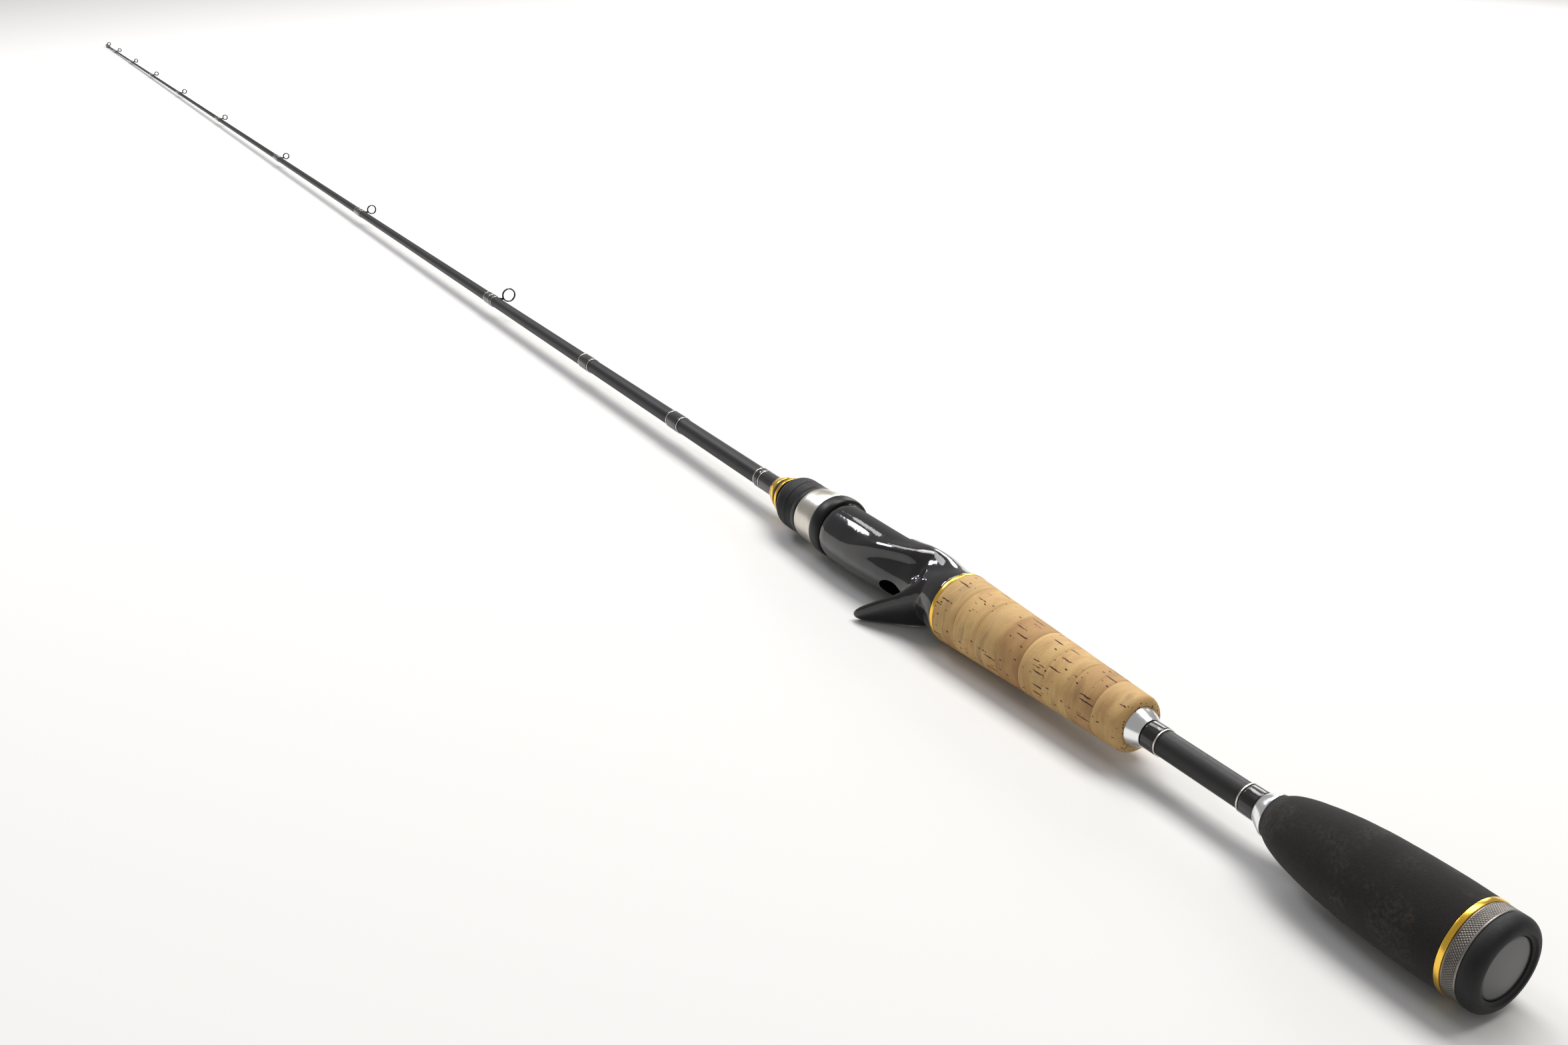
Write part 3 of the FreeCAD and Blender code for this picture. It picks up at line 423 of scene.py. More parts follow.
silver, tree, surface, place = finish(
    "silver_thread", Metallic=1.0, Roughness=0.3, Coat_Weight=1.0, Coat_Roughness=0.05)
split = wire(tree, "ShaderNodeSeparateXYZ", {"Vector": place})
strands = worked(tree, "PINGPONG", split.outputs["X"], 0.12)
twist = grain(tree, place, 5.0, 1.0)
tree.links.new(colours(tree, twist, (0.35, (0.55, 0.53, 0.50)), (0.65, (0.86, 0.85, 0.82))),
               surface.inputs["Base Color"])
bumped(tree, surface, spread(tree, strands, 0.0, 0.12, 0.0, 1.0), 0.02)


def band(middle, width, height):
    """A band of a few turns of silver thread under resin."""
    start, end = middle - width / 2, middle + width / 2
    inner = blank_radius(middle) - 0.05 * mm
    outer = blank_radius(middle) + height
    return eased(turned([(start, inner), (start, outer), (end, outer), (end, inner)], 64), 0.12 * mm)


band_width = 0.6 * mm
wrap_height = 0.45 * mm
band_height = 0.46 * mm
for name, wrap_node, band_node in (
        ("rear", "rear_handle_wrap", "rear_silver_trim"), ("fore", "fore_handle_wrap", "fore_silver_trim")):
    start, end, _ = reach(wrap_node)
    laid(f"{name}_wrap", wrap(start, end, wrap_height), "rod", "varnished_wrap", resin, wrap_node)
    band_start, band_end, _ = reach(band_node)
    laid(f"{name}_silver_band", band((band_start + band_end) / 2, band_width, band_height), "rod", "silver_thread",
         silver, band_node)


# ---- the cork grip -----------------------------------
# Eight rings punched from cork bark, glued on end and sanded to one taper. Each ring has its own tone and growth
# lines, and the bark's pores show as short dark slits that stop at the ring's joint.
cork_start = reach("cork_ring_1")[0]
cork_pitch = reach("cork_ring_1")[1] - cork_start

cork, tree, surface, place = finish("cork", Specular_IOR_Level=0.3)
split = wire(tree, "ShaderNodeSeparateXYZ", {"Vector": place})
from_first_joint = worked(tree, "ADD", split.outputs["X"], -cork_start / mm + 0.001)
ring_number = worked(tree, "FLOOR", worked(tree, "DIVIDE", from_first_joint, cork_pitch / mm))
tone = wire(tree, "ShaderNodeTexWhiteNoise", {"W": ring_number}, noise_dimensions="1D")
own_place = wire(tree, "ShaderNodeVectorMath", {0: tone.outputs["Color"], 1: (40, 90, 90), 2: place},
                 operation="MULTIPLY_ADD").outputs[0]
sway = wire(tree, "ShaderNodeTexNoise", {"Vector": own_place, "Scale": 0.09, "Detail": 2.0}).outputs["Color"]
swayed = wire(tree, "ShaderNodeVectorMath", {0: sway, 1: (3.2, 0.4, 0.4), 2: own_place},
              operation="MULTIPLY_ADD").outputs[0]
growth = grain(tree, swayed, 1.0, 4.0, (1.7, 0.05, 0.05))
patch = grain(tree, swayed, 1.0, 3.0, (0.16, 0.06, 0.06))
grouped = spread(tree, grain(tree, own_place, 1.0, 2.0, (0.1, 0.03, 0.03)), 0.42, 0.62, 0.15, 1.0)
cells = grain(tree, place, 4.5, 3.0)
bark = colours(tree, patch, (0.3, (0.44, 0.27, 0.115)), (0.45, (0.55, 0.36, 0.155)), (0.58, (0.60, 0.405, 0.18)),
               (0.72, (0.41, 0.275, 0.13)))
lined = worked(tree, "MULTIPLY", spread(tree, growth, 0.46, 0.66, 0.0, 0.5), grouped)
dull = mixed(tree, lined, bark, (0.30, 0.185, 0.085, 1))
ring_shade = colours(tree, tone.outputs["Value"], (0.0, (0.78, 0.68, 0.62)), (0.45, (0.96, 0.93, 0.88)),
                     (1.0, (1.12, 1.1, 1.02)))
shaded = mixed(tree, 1.0, dull, ring_shade, "MULTIPLY")
grained = mixed(tree, spread(tree, cells, 0.35, 0.6, 0.3, 0.0), shaded, (0.27, 0.15, 0.065, 1))


def pores(stretch, size, kept, crook_by):
    """Dark pores: stretched cells, of which only a share is kept, with crooked edges."""
    crook = wire(tree, "ShaderNodeTexNoise", {"Vector": own_place, "Scale": 0.7, "Detail": 3.0}).outputs["Color"]
    crooked = wire(tree, "ShaderNodeVectorMath", {0: crook, 1: (0.0, crook_by, crook_by), 2: own_place},
                   operation="MULTIPLY_ADD").outputs[0]
    stretched = wire(tree, "ShaderNodeVectorMath", {0: crooked, 1: stretch}, operation="MULTIPLY").outputs[0]
    cell = wire(tree, "ShaderNodeTexVoronoi", {"Vector": stretched, "Scale": 1.0})
    picked = wire(tree, "ShaderNodeSeparateColor", {"Color": cell.outputs["Color"]}).outputs[0]
    picked = worked(tree, "LESS_THAN", picked, kept)
    depth = spread(tree, cell.outputs["Distance"], size, size * 0.45, 0.0, 1.0)
    return worked(tree, "MULTIPLY", depth, picked)


slits = pores((0.062, 0.85, 0.85), 0.27, 0.36, 0.9)
pits = pores((0.3, 1.0, 1.0), 0.26, 0.15, 0.8)
holes = worked(tree, "MAXIMUM", slits, pits)
pored = colours(tree, holes, (0.0, (0.30, 0.13, 0.045)), (0.6, (0.10, 0.032, 0.011)), (1.0, (0.045, 0.014, 0.006)))
shown = spread(tree, holes, 0.0, 0.35, 0.0, 1.0)
tree.links.new(mixed(tree, shown, grained, pored),
               surface.inputs["Base Color"])
tree.links.new(spread(tree, cells, 0.3, 0.7, 0.55, 0.75), surface.inputs["Roughness"])
depth = worked(tree, "MULTIPLY_ADD", holes, -3.0, cells)
bumped(tree, surface, depth, 0.09)

for number in range(1, 9):
    start, end, _ = reach(f"cork_ring_{number}")
    radii = {}
    for vertex in frame["nodes"][f"cork_ring_{number}"].data.vertices:
        spot = off_line @ vertex.co
        station = round(spot.x, 5)
        radii[station] = max(radii.get(station, 0.0), hypot(spot.y, spot.z))
    bore = 4.85 * mm
    outer = [(x, radii[x]) for x in sorted(radii) if radii[x] > 8 * mm]
    if number == 1:
        outer.insert(0, (start, 7.5 * mm))
    outline = [(end, bore), (start + (1.6 * mm if number == 1 else 0), bore)]
    outline += [(start + 1.6 * mm, 7.45 * mm)] if number == 1 else []
    shape = turned(outline + outer, 128)
    laid(f"cork_{number}", eased(shape, 0.07 * mm, 1), "rod", "cork", cork, f"cork_ring_{number}")


# ---- the reel seat -----------------------------------
# A moulded glossy seat. The shell's lower edge swells back into a rounded palm ridge, the belly is scooped for the
# finger, a trigger leans forward under the rear hood, and the reel foot's deck is cut flat on the far side.
seat_start = reach("reel_seat")[0]
seat_front = reach("front_hood")[0] - 0.65 * mm
deck_height = (off_line @ Vector(mounts["reel_foot_deck"]["pos_m"])).z
body_span = seat_front - seat_start

# radii in millimetres at places along the seat, and where the shell's edge stands, in degrees from the top
top_run = ((0, 14.1), (3, 13.85), (7, 13.7), (12, 14.2), (17, 14.9), (22, 15.15), (28, 14.95), (34, 14.1), (40, 13.4),
           (50, 13.1), (70, 12.8), (79, 12.5), (82.3, 11.9))
side_run = ((0, 14.1), (3, 13.75), (8, 12.8), (13, 11.6), (17, 10.8), (20.5, 10.7), (23, 12.2), (26, 13.1),
            (30, 13.35), (38, 13.3), (50, 13.15), (68, 12.9), (79, 12.5), (82.3, 11.9))
belly_run = ((0, 14.1), (3, 13.75), (8, 12.75), (13, 11.5), (18, 10.4), (24, 9.8), (29, 9.75), (34, 10.2), (42, 11.2),
             (52, 12.0), (62, 12.5), (72, 12.55), (79, 12.3), (82.3, 11.8))
ridge_run = ((0, 78), (20, 82), (24, 86), (32, 97), (42, 112), (52, 127), (61, 142), (70, 155), (77, 165), (82.3, 172))


def eased_step(start, end, value):
    """Goes smoothly from 0 at start to 1 at end."""
    share = min(1.0, max(0.0, (value - start) / (end - start)))
    return share * share * (3 - 2 * share)


def run(points, x, softness=2.5):
    """A value at x along a smooth run through (x, value) points."""
    return flowing([place for place, _ in points], [value for _, value in points], softness, x)


def bell(squared):
    """A soft bump: 1 at its middle, falling away on both sides by the squared distance."""
    return 2.718 ** -squared


body_steps = 140
stations = []
for step in range(body_steps + 1):
    x = body_span / mm * step / body_steps
    stations.append((x, run(top_run, x), run(side_run, x, 1.4), run(belly_run, x), radians(run(ridge_run, x))))

seat_outline = [(seat_start, 0.0)] + [(seat_start + station[0] * mm, 1 * mm) for station in stations]
seat_outline += [(seat_start + body_span, 0.0)]
body = turned(seat_outline, 180)
for vertex in body.verts:
    if hypot(vertex.co.y, vertex.co.z) < 0.5 * mm:
        continue
    x, top, side, belly, ridge = stations[round((vertex.co.x - seat_start) / body_span * body_steps)]
    turn = abs(atan2(vertex.co.y, vertex.co.z))
    shell = top + (side - top) * eased_step(radians(38), radians(84), turn)
    crest = ((turn - ridge + radians(15)) / radians(13)) ** 2
    shell += 0.75 * eased_step(20, 27, x) * (1 - eased_step(44, 66, x)) * bell(crest)
    lip = radians(5.5 + 18 * eased_step(27, 75, x))
    radius = belly + (shell - belly) * (1 - eased_step(ridge - lip, ridge + lip, turn))
    hollow = ((x - 20.2) / 1.9) ** 2 + ((turn - radians(101)) * 10.5 / 2.6) ** 2
    radius -= 2.2 * bell(hollow)
    vertex.co.yz *= radius

# the trigger, a tongue with a flat rear face, widest at its root and rounded to its tip
# (height, place along, half width, half depth) of each ring of it
trigger_loops = (
    (-3.0, 12.5, 6.2, 5.6), (-8.0, 14.2, 6.0, 4.7), (-11.5, 16.6, 5.5, 3.7), (-15.0, 20.2, 4.7, 3.1),
    (-18.5, 24.4, 3.6, 2.8), (-22.0, 28.6, 2.3, 2.6), (-25.0, 32.0, 1.2, 2.3), (-26.8, 33.8, 0.6, 1.7),
    (-27.75, 34.6, 0.2, 0.7))
def lofted(rings, segments, put):
    """A skin over rings of points, closed at both ends. put gives a ring's point from its place on a unit circle."""
    shape = bmesh.new()
    rims = []
    for ring in rings:
        loop = bmesh.ops.create_circle(shape, cap_ends=False, segments=segments, radius=1.0)["verts"]
        for vertex in loop:
            vertex.co = put(vertex.co.x, vertex.co.y, *ring)
        rims.append([edge for edge in shape.edges if all(vertex in loop for vertex in edge.verts)])
    for lower, upper in zip(rims, rims[1:]):
        bmesh.ops.bridge_loops(shape, edges=lower + upper)
    bmesh.ops.holes_fill(shape, edges=rims[0] + rims[-1])
    bmesh.ops.recalc_face_normals(shape, faces=shape.faces)
    return shape


def on_trigger(lean, width, height, place_along, half_width, half_depth):
    """A point on the trigger's skin: a half circle on each side of a flat middle."""
    side_step = half_width * (1 if width > 0 else -1) * min(1.0, abs(width) * 3)
    return seat_start + (place_along + lean * half_depth) * mm, (width * half_depth + side_step) * mm, height * mm


trigger = lofted(trigger_loops, 40, on_trigger)


def as_object(name, *shapes):
    """An object that holds one or more shapes, still on the rod's own axes."""
    mesh = bpy.data.meshes.new(name)
    whole = bmesh.new()
    for shape in shapes:
        part = bpy.data.meshes.new(name)
        shape.to_mesh(part)
        shape.free()
        whole.from_mesh(part)
        bpy.data.meshes.remove(part)
    whole.to_mesh(mesh)
    whole.free()
    held = bpy.data.objects.new(name, mesh)
    bpy.context.scene.collection.objects.link(held)
    return held


def taken(held, **cutters):
    """The object's shape as a bmesh, with its modifiers applied and the named cutters' shapes cut out of it."""
    tools = []
    for name, cutter in cutters.items():
        tools.append(as_object(f"{name}_cutter", cutter))
        cut = held.modifiers.new(name, "BOOLEAN")
        cut.operation = "DIFFERENCE"
        cut.object = tools[-1]
        cut.solver = "EXACT"
    bpy.context.view_layer.update()
    ready = held.evaluated_get(bpy.context.evaluated_depsgraph_get())
    shape = bmesh.new()
    shape.from_mesh(ready.to_mesh())
    for done_with in [held] + tools:
        bpy.data.objects.remove(done_with)
    return shape


moulding = as_object("moulding", body, trigger)
remesh = moulding.modifiers.new("one_skin", "REMESH")
remesh.mode = "VOXEL"
remesh.voxel_size = 0.36 * mm
skin = taken(moulding)

# the trigger's root and the side hollow are blended the most, and the whole skin a little
root_span, root_heights, root_passes = (4 * mm, 26 * mm), (-14.5 * mm, -4 * mm), 16
hollow_span, hollow_heights, hollow_passes = (14 * mm, 27 * mm), (-8 * mm, 3 * mm), 36
whole_span, whole_heights, whole_passes = (-1.0, 1.0), (-1.0, 1.0), 6
for span, heights, passes in (
        (root_span, root_heights, root_passes), (hollow_span, hollow_heights, hollow_passes),
        (whole_span, whole_heights, whole_passes)):
    blended = [vertex for vertex in skin.verts
               if span[0] < vertex.co.x - seat_start < span[1] and heights[0] < vertex.co.z < heights[1]]
    for _ in range(passes):
        bmesh.ops.smooth_vert(skin, verts=blended, factor=0.5, use_axis_x=True, use_axis_y=True, use_axis_z=True)


def box_cutter(low, high):
    """A block between two corners, to cut with."""
    block = bmesh.new()
    bmesh.ops.create_cube(block, size=1.0)
    middle = [(a + b) / 2 for a, b in zip(low, high)]
    for vertex in block.verts:
        vertex.co = [m + c * (b - a) for m, c, a, b in zip(middle, vertex.co, low, high)]
    return block


def drawn_out(block, way):
    """Draws a block's one flat face out into a solid."""
    drawn = bmesh.ops.extrude_face_region(block, geom=block.faces[:])["geom"]
    far_end = [item for item in drawn if isinstance(item, bmesh.types.BMVert)]
    bmesh.ops.translate(block, verts=far_end, vec=way)
    bmesh.ops.recalc_face_normals(block, faces=block.faces)
    return block


def prism(points, low, high):
    """A flat outline of (across, up) points, drawn out along the rod from low to high."""
    block = bmesh.new()
    block.faces.new([block.verts.new((low, across_place, up)) for across_place, up in points])
    return drawn_out(block, (high - low, 0, 0))


seat_bore = 6.6 * mm
hub_end = seat_start + 102.6 * mm
deck_corners = (seat_start + 37.6 * mm, -20 * mm, deck_height), (hub_end + 12 * mm, 20 * mm, 30 * mm)
deck_cut = box_cutter(*deck_corners)


def foot_outline(floor):
    """The room that a reel foot's end takes: a flat floor under an arch, as (across, up) points."""
    half_floor, arch_radius, arch_centre = 7.9 * mm, 11.4 * mm, 0.6 * mm
    arch = []
    for step in range(33):
        turn = radians(46) + radians(88) * step / 32
        arch.append((arch_radius * cos(turn), arch_centre + arch_radius * sin(turn)))
    return [(-half_floor, floor), (half_floor, floor)] + [point for point in arch if point[1] > deck_height]


pocket_cut = prism(foot_outline(deck_height), seat_start + 22.6 * mm, seat_start + 38.6 * mm)
bore_cut = turned([(seat_start - 1 * mm, 0.0), (seat_start - 1 * mm, seat_bore), (seat_front + 1 * mm, seat_bore),
                   (seat_front + 1 * mm, 0.0)], 64)
window_cut = bmesh.new()
window = bmesh.ops.create_circle(window_cut, cap_ends=True, segments=64, radius=4.6 * mm)["verts"]
for vertex in window:
    vertex.co = (seat_start + 32.0 * mm + vertex.co.x * 1.7, vertex.co.y, -15 * mm)
drawn_out(window_cut, (0, 0, 12 * mm))

seat_shape = taken(as_object("moulded", skin), deck=deck_cut, pocket=pocket_cut, bore=bore_cut, window=window_cut)

seat_black, tree, surface, place = finish(
    "glossy_moulding", Roughness=0.1, Coat_Weight=1.0, Coat_Roughness=0.025, Specular_IOR_Level=0.12)
haze = grain(tree, place, 0.12, 3.0)
tree.links.new(colours(tree, haze, (0.3, (0.0052, 0.0042, 0.0052)), (0.7, (0.0085, 0.0068, 0.0078))),
               surface.inputs["Base Color"])
tree.links.new(spread(tree, grain(tree, place, 2.5, 6.0), 0.45, 0.7, 0.08, 0.2), surface.inputs["Roughness"])
bumped(tree, surface, grain(tree, place, 0.5, 2.0), 0.03, "Coat Normal")
laid("moulded_seat", seat_shape, "rod", "seat_black", seat_black, "reel_seat", sharp=radians(35))

# the hub and the threaded barrel that the hood and the nut run on, with the deck's flat carried along the hub
barrel_end = reach("reel_seat")[1]
hub_outline = [(seat_front - 2 * mm, seat_bore), (seat_front - 2 * mm, 9.15 * mm), (hub_end - 0.2 * mm, 9.15 * mm),
               (hub_end, 8.75 * mm)]
thread_pitch = 2.5 * mm
x = hub_end + 0.6 * mm
while x < barrel_end - 1.8 * mm:
    hub_outline += [(x, 8.75 * mm), (x + 0.6 * mm, 8.1 * mm), (x + 1.3 * mm, 8.1 * mm), (x + 1.9 * mm, 8.75 * mm)]
    x += thread_pitch
hub_outline += [(barrel_end - 0.6 * mm, 8.7 * mm), (barrel_end, 8.2 * mm), (barrel_end, seat_bore)]
keyway_cut = box_cutter((seat_front + 10 * mm, -1.5 * mm, -12 * mm), (hub_end + 13.6 * mm, 1.5 * mm, -8.2 * mm))
hub_shape = taken(as_object("hub", turned(hub_outline, 96)), flat=box_cutter(*deck_corners), keyway=keyway_cut)
laid("threaded_barrel", hub_shape, "rod", "seat_black", seat_black, sharp=radians(35))


# ---- the sliding hood --------------------------------
# An aluminium sleeve, satin blasted and anodised champagne, that slides on the seat's hub and clamps the reel's foot.
# A soft black ring with a round rim is pressed round its mouth.
hood_start, hood_end, _ = reach("front_hood")
ring_start, ring_end, _ = reach("hood_ring")
hood_lift = 0.6 * mm
hub_bore = 9.3 * mm

champagne, tree, surface, place = finish("champagne_aluminium", Metallic=1.0, Anisotropic=0.35)
brushing = grain(tree, place, 6.0, 3.0, (1, 0.03, 0.03))
patina = grain(tree, place, 0.1, 3.0)
tree.links.new(colours(tree, patina, (0.3, (0.60, 0.565, 0.50)), (0.7, (0.70, 0.665, 0.60))),
               surface.inputs["Base Color"])
tree.links.new(spread(tree, brushing, 0.3, 0.7, 0.26, 0.4), surface.inputs["Roughness"])
bumped(tree, surface, brushing, 0.01)

sleeve_start = ring_end - 0.1 * mm
sleeve = turned([
    (hood_start, hub_bore), (hood_start, 11.9 * mm), (sleeve_start, 11.9 * mm), (sleeve_start, 12.35 * mm),
    (sleeve_start + 4 * mm, 12.3 * mm), (sleeve_start + 8 * mm, 12.05 * mm), (hood_end - 2 * mm, 11.75 * mm),
    (hood_end, 11.62 * mm), (hood_end, hub_bore)], 128)
for vertex in sleeve.verts:
    if hypot(vertex.co.y, vertex.co.z) > hub_bore + 0.5 * mm:
        vertex.co.z += hood_lift * (1 - eased_step(sleeve_start + 4 * mm, hood_end, vertex.co.x))
mouth_cut = prism(foot_outline(deck_height - 0.4 * mm), hood_start - 1 * mm, hood_start + 11.7 * mm)
sleeve_shape = taken(as_object("sleeve", eased(sleeve, 0.14 * mm, 2)), mouth=mouth_cut)
laid("champagne_hood", sleeve_shape, "hood", "hood_silver", champagne, "front_hood", sharp=radians(35))

soft_black, tree, surface, place = finish("soft_black_ring", Specular_IOR_Level=0.2)
speckle = grain(tree, place, 2.2, 3.0)
tree.links.new(colours(tree, speckle, (0.3, (0.007, 0.007, 0.0072)), (0.7, (0.0125, 0.0122, 0.0122))),
               surface.inputs["Base Color"])
tree.links.new(spread(tree, speckle, 0.3, 0.7, 0.3, 0.42), surface.inputs["Roughness"])
ring_thickness = ring_end - ring_start
ring_points = [(ring_end, 12.0 * mm), (ring_start + 0.5 * mm, 12.0 * mm), (ring_start + 0.3 * mm, 11.45 * mm)]
for step in range(21):
    turn = pi * step / 20
    swell = sin(turn) ** 0.62
    foot = 11.5 * mm + 0.75 * mm * min(1.0, step / 7)
    ring_points.append((ring_start + ring_thickness * (0.5 - 0.5 * cos(turn)), foot + (13.3 * mm - foot) * swell))
ring_shape = turned(ring_points, 128)
bmesh.ops.translate(ring_shape, verts=ring_shape.verts, vec=(0, 0, hood_lift))
laid("soft_hood_ring", ring_shape, "hood", "soft_ring", soft_black, "hood_ring")


# ---- the lock nut ------------------------------------
# A moulded black nut: a plain collar, two knurled bands with a fine groove between them, and a shoulder that rounds
# off to a stepped nose. The nose carries a gold ring and a gold cone.
nut_start, nut_end, nut_radius = reach("lock_nut")
gold_start, gold_end, gold_radius = reach("nut_gold_ring")
cone_start, cone_end, cone_radius = reach("nut_gold_cone")
collar = 3.0 * mm
knurl_start = nut_start + collar
bands = ((knurl_start, knurl_start + 4.9 * mm), (knurl_start + 5.3 * mm, knurl_start + 11.6 * mm))


def nut_skin(x):
    """The nut's outer radius: level, then rounding down over the shoulder."""
    drop = eased_step(nut_start + 12.4 * mm, nut_start + 22.6 * mm, x)
    return nut_radius - 4.6 * mm * drop ** 1.25


nut_outline = [
    (nut_start, 8.95 * mm), (nut_start, nut_radius - 0.3 * mm), (nut_start + 0.15 * mm, nut_radius - 0.08 * mm),
    (nut_start + 0.4 * mm, nut_radius), (knurl_start - 0.15 * mm, nut_radius),
    (knurl_start - 0.1 * mm, nut_radius - 0.12 * mm)]
for start, end in bands:
    for step in range(35):
        x = start + (end - start) * step / 34
        nut_outline.append((x, nut_skin(x)))
    nut_outline += [(end + 0.06 * mm, nut_skin(end) - 0.3 * mm), (end + 0.3 * mm, nut_skin(end) - 0.3 * mm)]
shoulder_end = gold_start - 0.05 * mm
nut_outline += [(x, nut_skin(x)) for x in np.linspace(bands[1][1] + 0.4 * mm, shoulder_end, 12)]
nut_outline += [
    (shoulder_end, gold_radius - 0.45 * mm), (gold_end + 0.05 * mm, gold_radius - 0.45 * mm),
    (gold_end + 0.1 * mm, gold_radius - 0.75 * mm), (gold_end + 0.35 * mm, gold_radius - 0.62 * mm),
    (cone_start - 0.4 * mm, cone_radius + 0.02 * mm), (cone_start - 0.1 * mm, cone_radius - 0.2 * mm),
    (cone_start - 0.1 * mm, 5.1 * mm), (nut_start + 18 * mm, 5.1 * mm), (nut_start + 18 * mm, 8.95 * mm)]
nut_pitch = 0.66 * mm
nut = turned(nut_outline, round(2 * pi * nut_radius / nut_pitch) * 6)
for start, end in bands:
    knurled(nut, start, end, nut_skin, nut_pitch, 0.2 * mm)

nut_black, tree, surface, place = finish("nut_moulding", Specular_IOR_Level=0.24)
speckle = grain(tree, place, 1.2, 4.0)
proud = colours(tree, speckle, (0.3, (0.010, 0.010, 0.0105)), (0.7, (0.018, 0.018, 0.0185)))
# painted shade: the knurls' grooves are darkened to near black by how deep each is
painted_groove_shade = wire(tree, "ShaderNodeAttribute", {}, attribute_name="groove").outputs["Fac"]
tree.links.new(mixed(tree, painted_groove_shade, proud, (0.003, 0.003, 0.003, 1)), surface.inputs["Base Color"])
tree.links.new(spread(tree, speckle, 0.3, 0.7, 0.33, 0.47), surface.inputs["Roughness"])
laid("knurled_nut", nut, "nut", "nut_black", nut_black, "lock_nut", sharp=radians(80))

gold_band = turned([
    (gold_start, 7.5 * mm), (gold_start, gold_radius), (gold_end, gold_radius - 0.3 * mm), (gold_end, 7.5 * mm)], 128)
laid("nut_gold_band", eased(gold_band, 0.25 * mm), "nut", "gold_anodised", gold, "nut_gold_ring")
gold_nose = turned([
    (cone_start, 5.65 * mm), (cone_start, cone_radius), (cone_start + 0.8 * mm, cone_radius), (cone_end, 5.5 * mm),
    (cone_end, 5.02 * mm), (cone_end - 1.5 * mm, 5.02 * mm), (cone_end - 1.5 * mm, 5.65 * mm)], 128)
laid("nut_gold_nose", eased(gold_nose, 0.15 * mm, 2), "nut", "gold_anodised", gold, "nut_gold_cone")


# ---- wraps ahead of the seat -------------------------
# A long wrap closes the seat on to the blank and ends in a short one between two silver bands. Further on, two
# decorative wraps stand between pairs of silver bands.
def solids_along(node):
    """The separate solids of a CAD node, as (start, end) places along the rod."""
    loose = bmesh.new()
    loose.from_mesh(frame["nodes"][node].data)
    bmesh.ops.remove_doubles(loose, verts=loose.verts, dist=1e-6)
    spans, left = [], set(loose.verts)
    while left:
        island, edge_of_island = set(), [left.pop()]
        while edge_of_island:
            vertex = edge_of_island.pop()
            island.add(vertex)
            for edge in vertex.link_edges:
                other = edge.other_vert(vertex)
                if other in left:
                    left.remove(other)
                    edge_of_island.append(other)
        spans.append((min((off_line @ v.co).x for v in island), max((off_line @ v.co).x for v in island)))
    loose.free()
    return sorted(spans)


for node in ("front_wrap", "decor_wraps"):
    for number, (start, end) in enumerate(solids_along(node), 1):
        laid(f"{node}_{number}", wrap(start, end, wrap_height), "rod", "varnished_wrap", resin, node)
for node in ("front_silver_trims", "decor_silver_trims"):
    for number, (start, end) in enumerate(solids_along(node), 1):
        laid(f"{node}_{number}", band((start + end) / 2, 0.5 * mm, band_height), "rod", "silver_thread", silver, node)


# ---- the line guides ---------------------------------
# Single-foot guides: a thin dark-chromed frame holds a polished ceramic ring, and its foot lies on the blank towards
# the tip, bound down by a black wrap with three silver bands.
dark_chrome, tree, surface, place = finish("dark_chrome", Metallic=1.0)
wear = grain(tree, place, 0.8, 4.0)
tree.links.new(colours(tree, wear, (0.3, (0.10, 0.10, 0.105)), (0.7, (0.19, 0.19, 0.2))),
               surface.inputs["Base Color"])
tree.links.new(spread(tree, wear, 0.3, 0.7, 0.18, 0.3), surface.inputs["Roughness"])

ceramic, tree, surface, place = finish("dark_ceramic", Specular_IOR_Level=0.7, Coat_Weight=0.5, Coat_Roughness=0.05)
cloud = grain(tree, place, 1.0, 3.0)
tree.links.new(colours(tree, cloud, (0.3, (0.018, 0.018, 0.021)), (0.7, (0.03, 0.03, 0.034))),
               surface.inputs["Base Color"])
tree.links.new(spread(tree, cloud, 0.3, 0.7, 0.07, 0.13), surface.inputs["Roughness"])


def round_ring(centre, inner, outer, thickness):
    """A ring with a round section, whose hole faces along the rod."""
    middle = (inner + outer) / 2
    outline = []
    for step in range(12):
        turn = 2 * pi * step / 12
        outline.append((centre.x + thickness / 2 * cos(turn), middle + (outer - inner) / 2 * sin(turn)))
    ring = turned(outline, 40)
    bmesh.ops.translate(ring, verts=ring.verts, vec=(0, centre.y, centre.z))
    return ring


def eye(node, mount):
    """A guide's eye centre on the rod's axes, and its ring's outer radius."""
    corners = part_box(node)
    return off_line @ Vector(mounts[mount]["pos_m"]), (corners[1].z - corners[0].z) / 2


def on_foot(side, up, ahead, height, thick, wide):
    """A point on a guide's foot, which stands up under the hoop and then lies along the blank."""
    lean, rise = (1.0, 0.35) if ahead < 1.5 * mm else (0.0, 1.0)
    return centre.x + ahead + up * thick * mm * lean, side * half * wide, height + up * thick * mm * rise


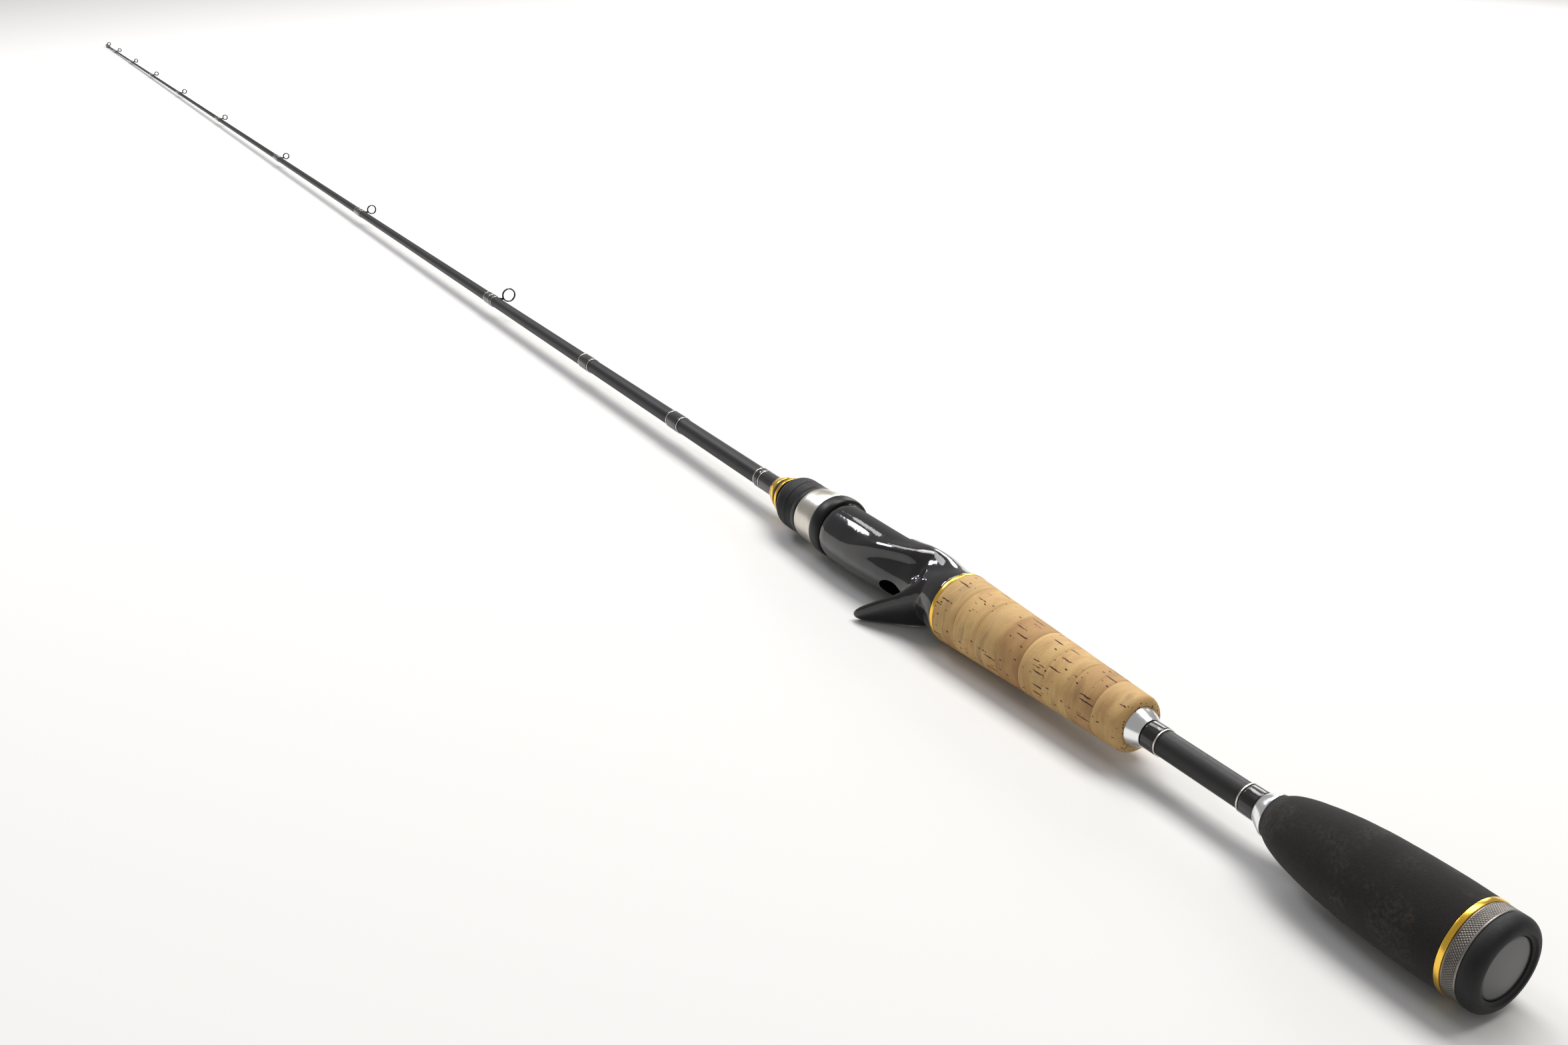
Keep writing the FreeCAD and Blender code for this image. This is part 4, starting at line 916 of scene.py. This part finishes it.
for number in range(1, 9):
    centre, ring_outer = eye(f"guide_ring_{number}", f"guide_{number}_eye")
    laid(f"guide_ceramic_{number}", round_ring(centre, ring_outer - 0.56 * mm, ring_outer, 1.35 * mm), "rod",
         "guide_ceramic", ceramic, f"guide_ring_{number}")
    hoop = round_ring(centre, ring_outer - 0.02 * mm, ring_outer + 0.44 * mm, 1.1 * mm)
    wrap_start, wrap_end, _ = reach(f"guide_wrap_{number}")
    wrap_start = min(wrap_start, centre.x + 2.4 * mm)
    blank_top = blank_radius(centre.x + 4 * mm)
    foot_end = wrap_end - 2.6 * mm
    half = ring_outer * 0.1 + 0.5 * mm
    spine = ((0.0, centre.z - ring_outer - 0.25 * mm, 0.55, 0.9), (0.8 * mm, blank_top + 0.75 * mm, 0.42, 0.85),
             (2.2 * mm, blank_top + 0.32 * mm, 0.28, 1.0),
             (wrap_start - centre.x + 1 * mm, blank_top + 0.22 * mm, 0.2, 1.0),
             (foot_end - centre.x, blank_top + 0.12 * mm, 0.08, 0.6))
    foot = lofted(spine, 12, on_foot)
    foot_mesh = bpy.data.meshes.new("foot")
    foot.to_mesh(foot_mesh)
    foot.free()
    hoop.from_mesh(foot_mesh)
    bpy.data.meshes.remove(foot_mesh)
    laid(f"guide_hoop_{number}", hoop, "rod", "guide_metal", dark_chrome, f"guide_frame_{number}")
    thread = wrap(wrap_start, wrap_end, 0.42 * mm, 48)
    for vertex in thread.verts:
        over_foot = eased_step(wrap_start - 1 * mm, wrap_start + 1 * mm, vertex.co.x) * (
            1 - eased_step(foot_end - 2 * mm, foot_end + 1 * mm, vertex.co.x))
        if vertex.co.z > 0 and abs(vertex.co.y) < half * 1.6:
            vertex.co.z += 0.16 * mm * over_foot * cos(vertex.co.y / (half * 1.6) * pi / 2)
    laid(f"guide_thread_{number}", thread, "rod", "varnished_wrap", resin, f"guide_wrap_{number}")
    for place, at, height in (("near", wrap_start + 0.1 * mm, 0.3), ("mid", wrap_start * 0.6 + wrap_end * 0.4, 0.5),
                              ("far", wrap_end, 0.3)):
        laid(f"guide_band_{number}_{place}", band(at, 0.35 * mm, height * mm), "rod", "silver_thread", silver)


# ---- the tip-top -------------------------------------
# The last guide: a drawn metal tube glued over the blank's end, with a small hoop and ceramic ring brazed on top.
tube_start, tube_end, _ = reach("tip_top_tube")
centre, ring_outer = eye("tip_top_ring", "tip_top_eye")
tube_radius = 1.45 * mm
tip_tube = turned([
    (tube_start, blank_radius(tube_start) - 0.02 * mm), (tube_start, tube_radius), (centre.x - 0.6 * mm, tube_radius),
    (centre.x - 0.2 * mm, tube_radius * 0.6), (centre.x - 0.1 * mm, 0.0), (tube_start + 0.5 * mm, 0.0),
    (tube_start + 0.5 * mm, blank_radius(tube_start) - 0.02 * mm)], 40)
tip_hoop = round_ring(centre, ring_outer - 0.02 * mm, ring_outer + 0.43 * mm, 1.1 * mm)
laid("tip_tube", tip_tube, "rod", "guide_metal", dark_chrome, "tip_top_tube")
laid("tip_hoop", tip_hoop, "rod", "guide_metal", dark_chrome)
laid("tip_ceramic", round_ring(centre, ring_outer - 0.56 * mm, ring_outer, 1.35 * mm), "rod", "guide_ceramic", ceramic,
     "tip_top_ring")
tip_wrap_start = tube_start - 4.5 * mm
laid("tip_wrap", wrap(tip_wrap_start, tube_start + 0.3 * mm, 0.3 * mm, 40), "rod", "varnished_wrap", resin)


# ---- hidden pieces -----------------------------------
# The aluminium plug inside the rear grip, and the bushings that centre the blank in the seat.
bushing, tree, surface, place = finish("bushing_plastic", Roughness=0.6)
tree.links.new(colours(tree, grain(tree, place, 1.5, 4.0), (0.3, (0.16, 0.16, 0.17)), (0.7, (0.24, 0.24, 0.25))),
               surface.inputs["Base Color"])
for node, material in (("butt_plug", aluminium), ("rear_arbor", bushing), ("front_arbor", bushing)):
    frame["nodes"][node].data.materials.clear()
    frame["nodes"][node].data.materials.append(material)


# ---- the table, the light and the camera -------------
# A plain pale table in soft, high light from a large window on the far side, seen from behind and above the butt.
floor_shape = bmesh.new()
bmesh.ops.create_grid(floor_shape, x_segments=1, y_segments=1, size=12.0)
floor_mesh = bpy.data.meshes.new("table")
floor_shape.to_mesh(floor_mesh)
floor_shape.free()
table = bpy.data.objects.new("table", floor_mesh)
bpy.context.scene.collection.objects.link(table)
cloth = finish("pale_table", Base_Color=(0.72, 0.716, 0.705, 1), Roughness=0.8, Specular_IOR_Level=0.15)[0]
floor_mesh.materials.append(cloth)

world = bpy.data.worlds.new("studio")
bpy.context.scene.world = world
world.use_nodes = True
world.node_tree.nodes["Background"].inputs["Color"].default_value = (1.0, 0.995, 0.98, 1)
world.node_tree.nodes["Background"].inputs["Strength"].default_value = 0.34


def softbox(name, place, target, size, power, colour=(1, 1, 1)):
    """A rectangular light that hangs at a place and faces a target."""
    light = bpy.data.lights.new(name, "AREA")
    light.shape = "RECTANGLE"
    light.size, light.size_y = size
    light.energy = power
    light.color = colour
    box = bpy.data.objects.new(name, light)
    bpy.context.scene.collection.objects.link(box)
    box.location = place
    box.rotation_euler = (Vector(target) - Vector(place)).to_track_quat("-Z", "Y").to_euler()


softbox("skylight", (-0.5, -0.75, 2.0), (-0.6, 0, 0), (2.2, 0.9), 44, (1, 0.985, 0.96))
softbox("far_window", (0.75, 0.25, 1.25), (-0.7, 0, 0), (0.5, 0.22), 9, (0.9, 0.9, 1))
softbox("side_window", (0.6, -1.8, 0.9), (-0.5, 0, 0), (1.0, 0.7), 14)
softbox("end_light", (1.0, -0.6, 1.9), (0.7, 0, 0), (1.4, 0.8), 16)

view_from = Vector((-1.2046, 0.3299, 0.2971))
view_along = Vector((0.7812, -0.4662, -0.4152))
view_roll = 0.004
camera_lens = bpy.data.cameras.new("camera")
camera_lens.sensor_width = 36
camera_lens.lens = 36.95
camera_lens.clip_start = 0.01
camera = bpy.data.objects.new("camera", camera_lens)
bpy.context.scene.collection.objects.link(camera)
camera.location = view_from
level_view = view_along.to_track_quat("-Z", "Y").to_matrix()
camera.rotation_euler = (level_view @ Matrix.Rotation(view_roll, 3, "Z")).to_euler()
bpy.context.scene.camera = camera
bpy.context.scene.view_settings.view_transform = "Standard"
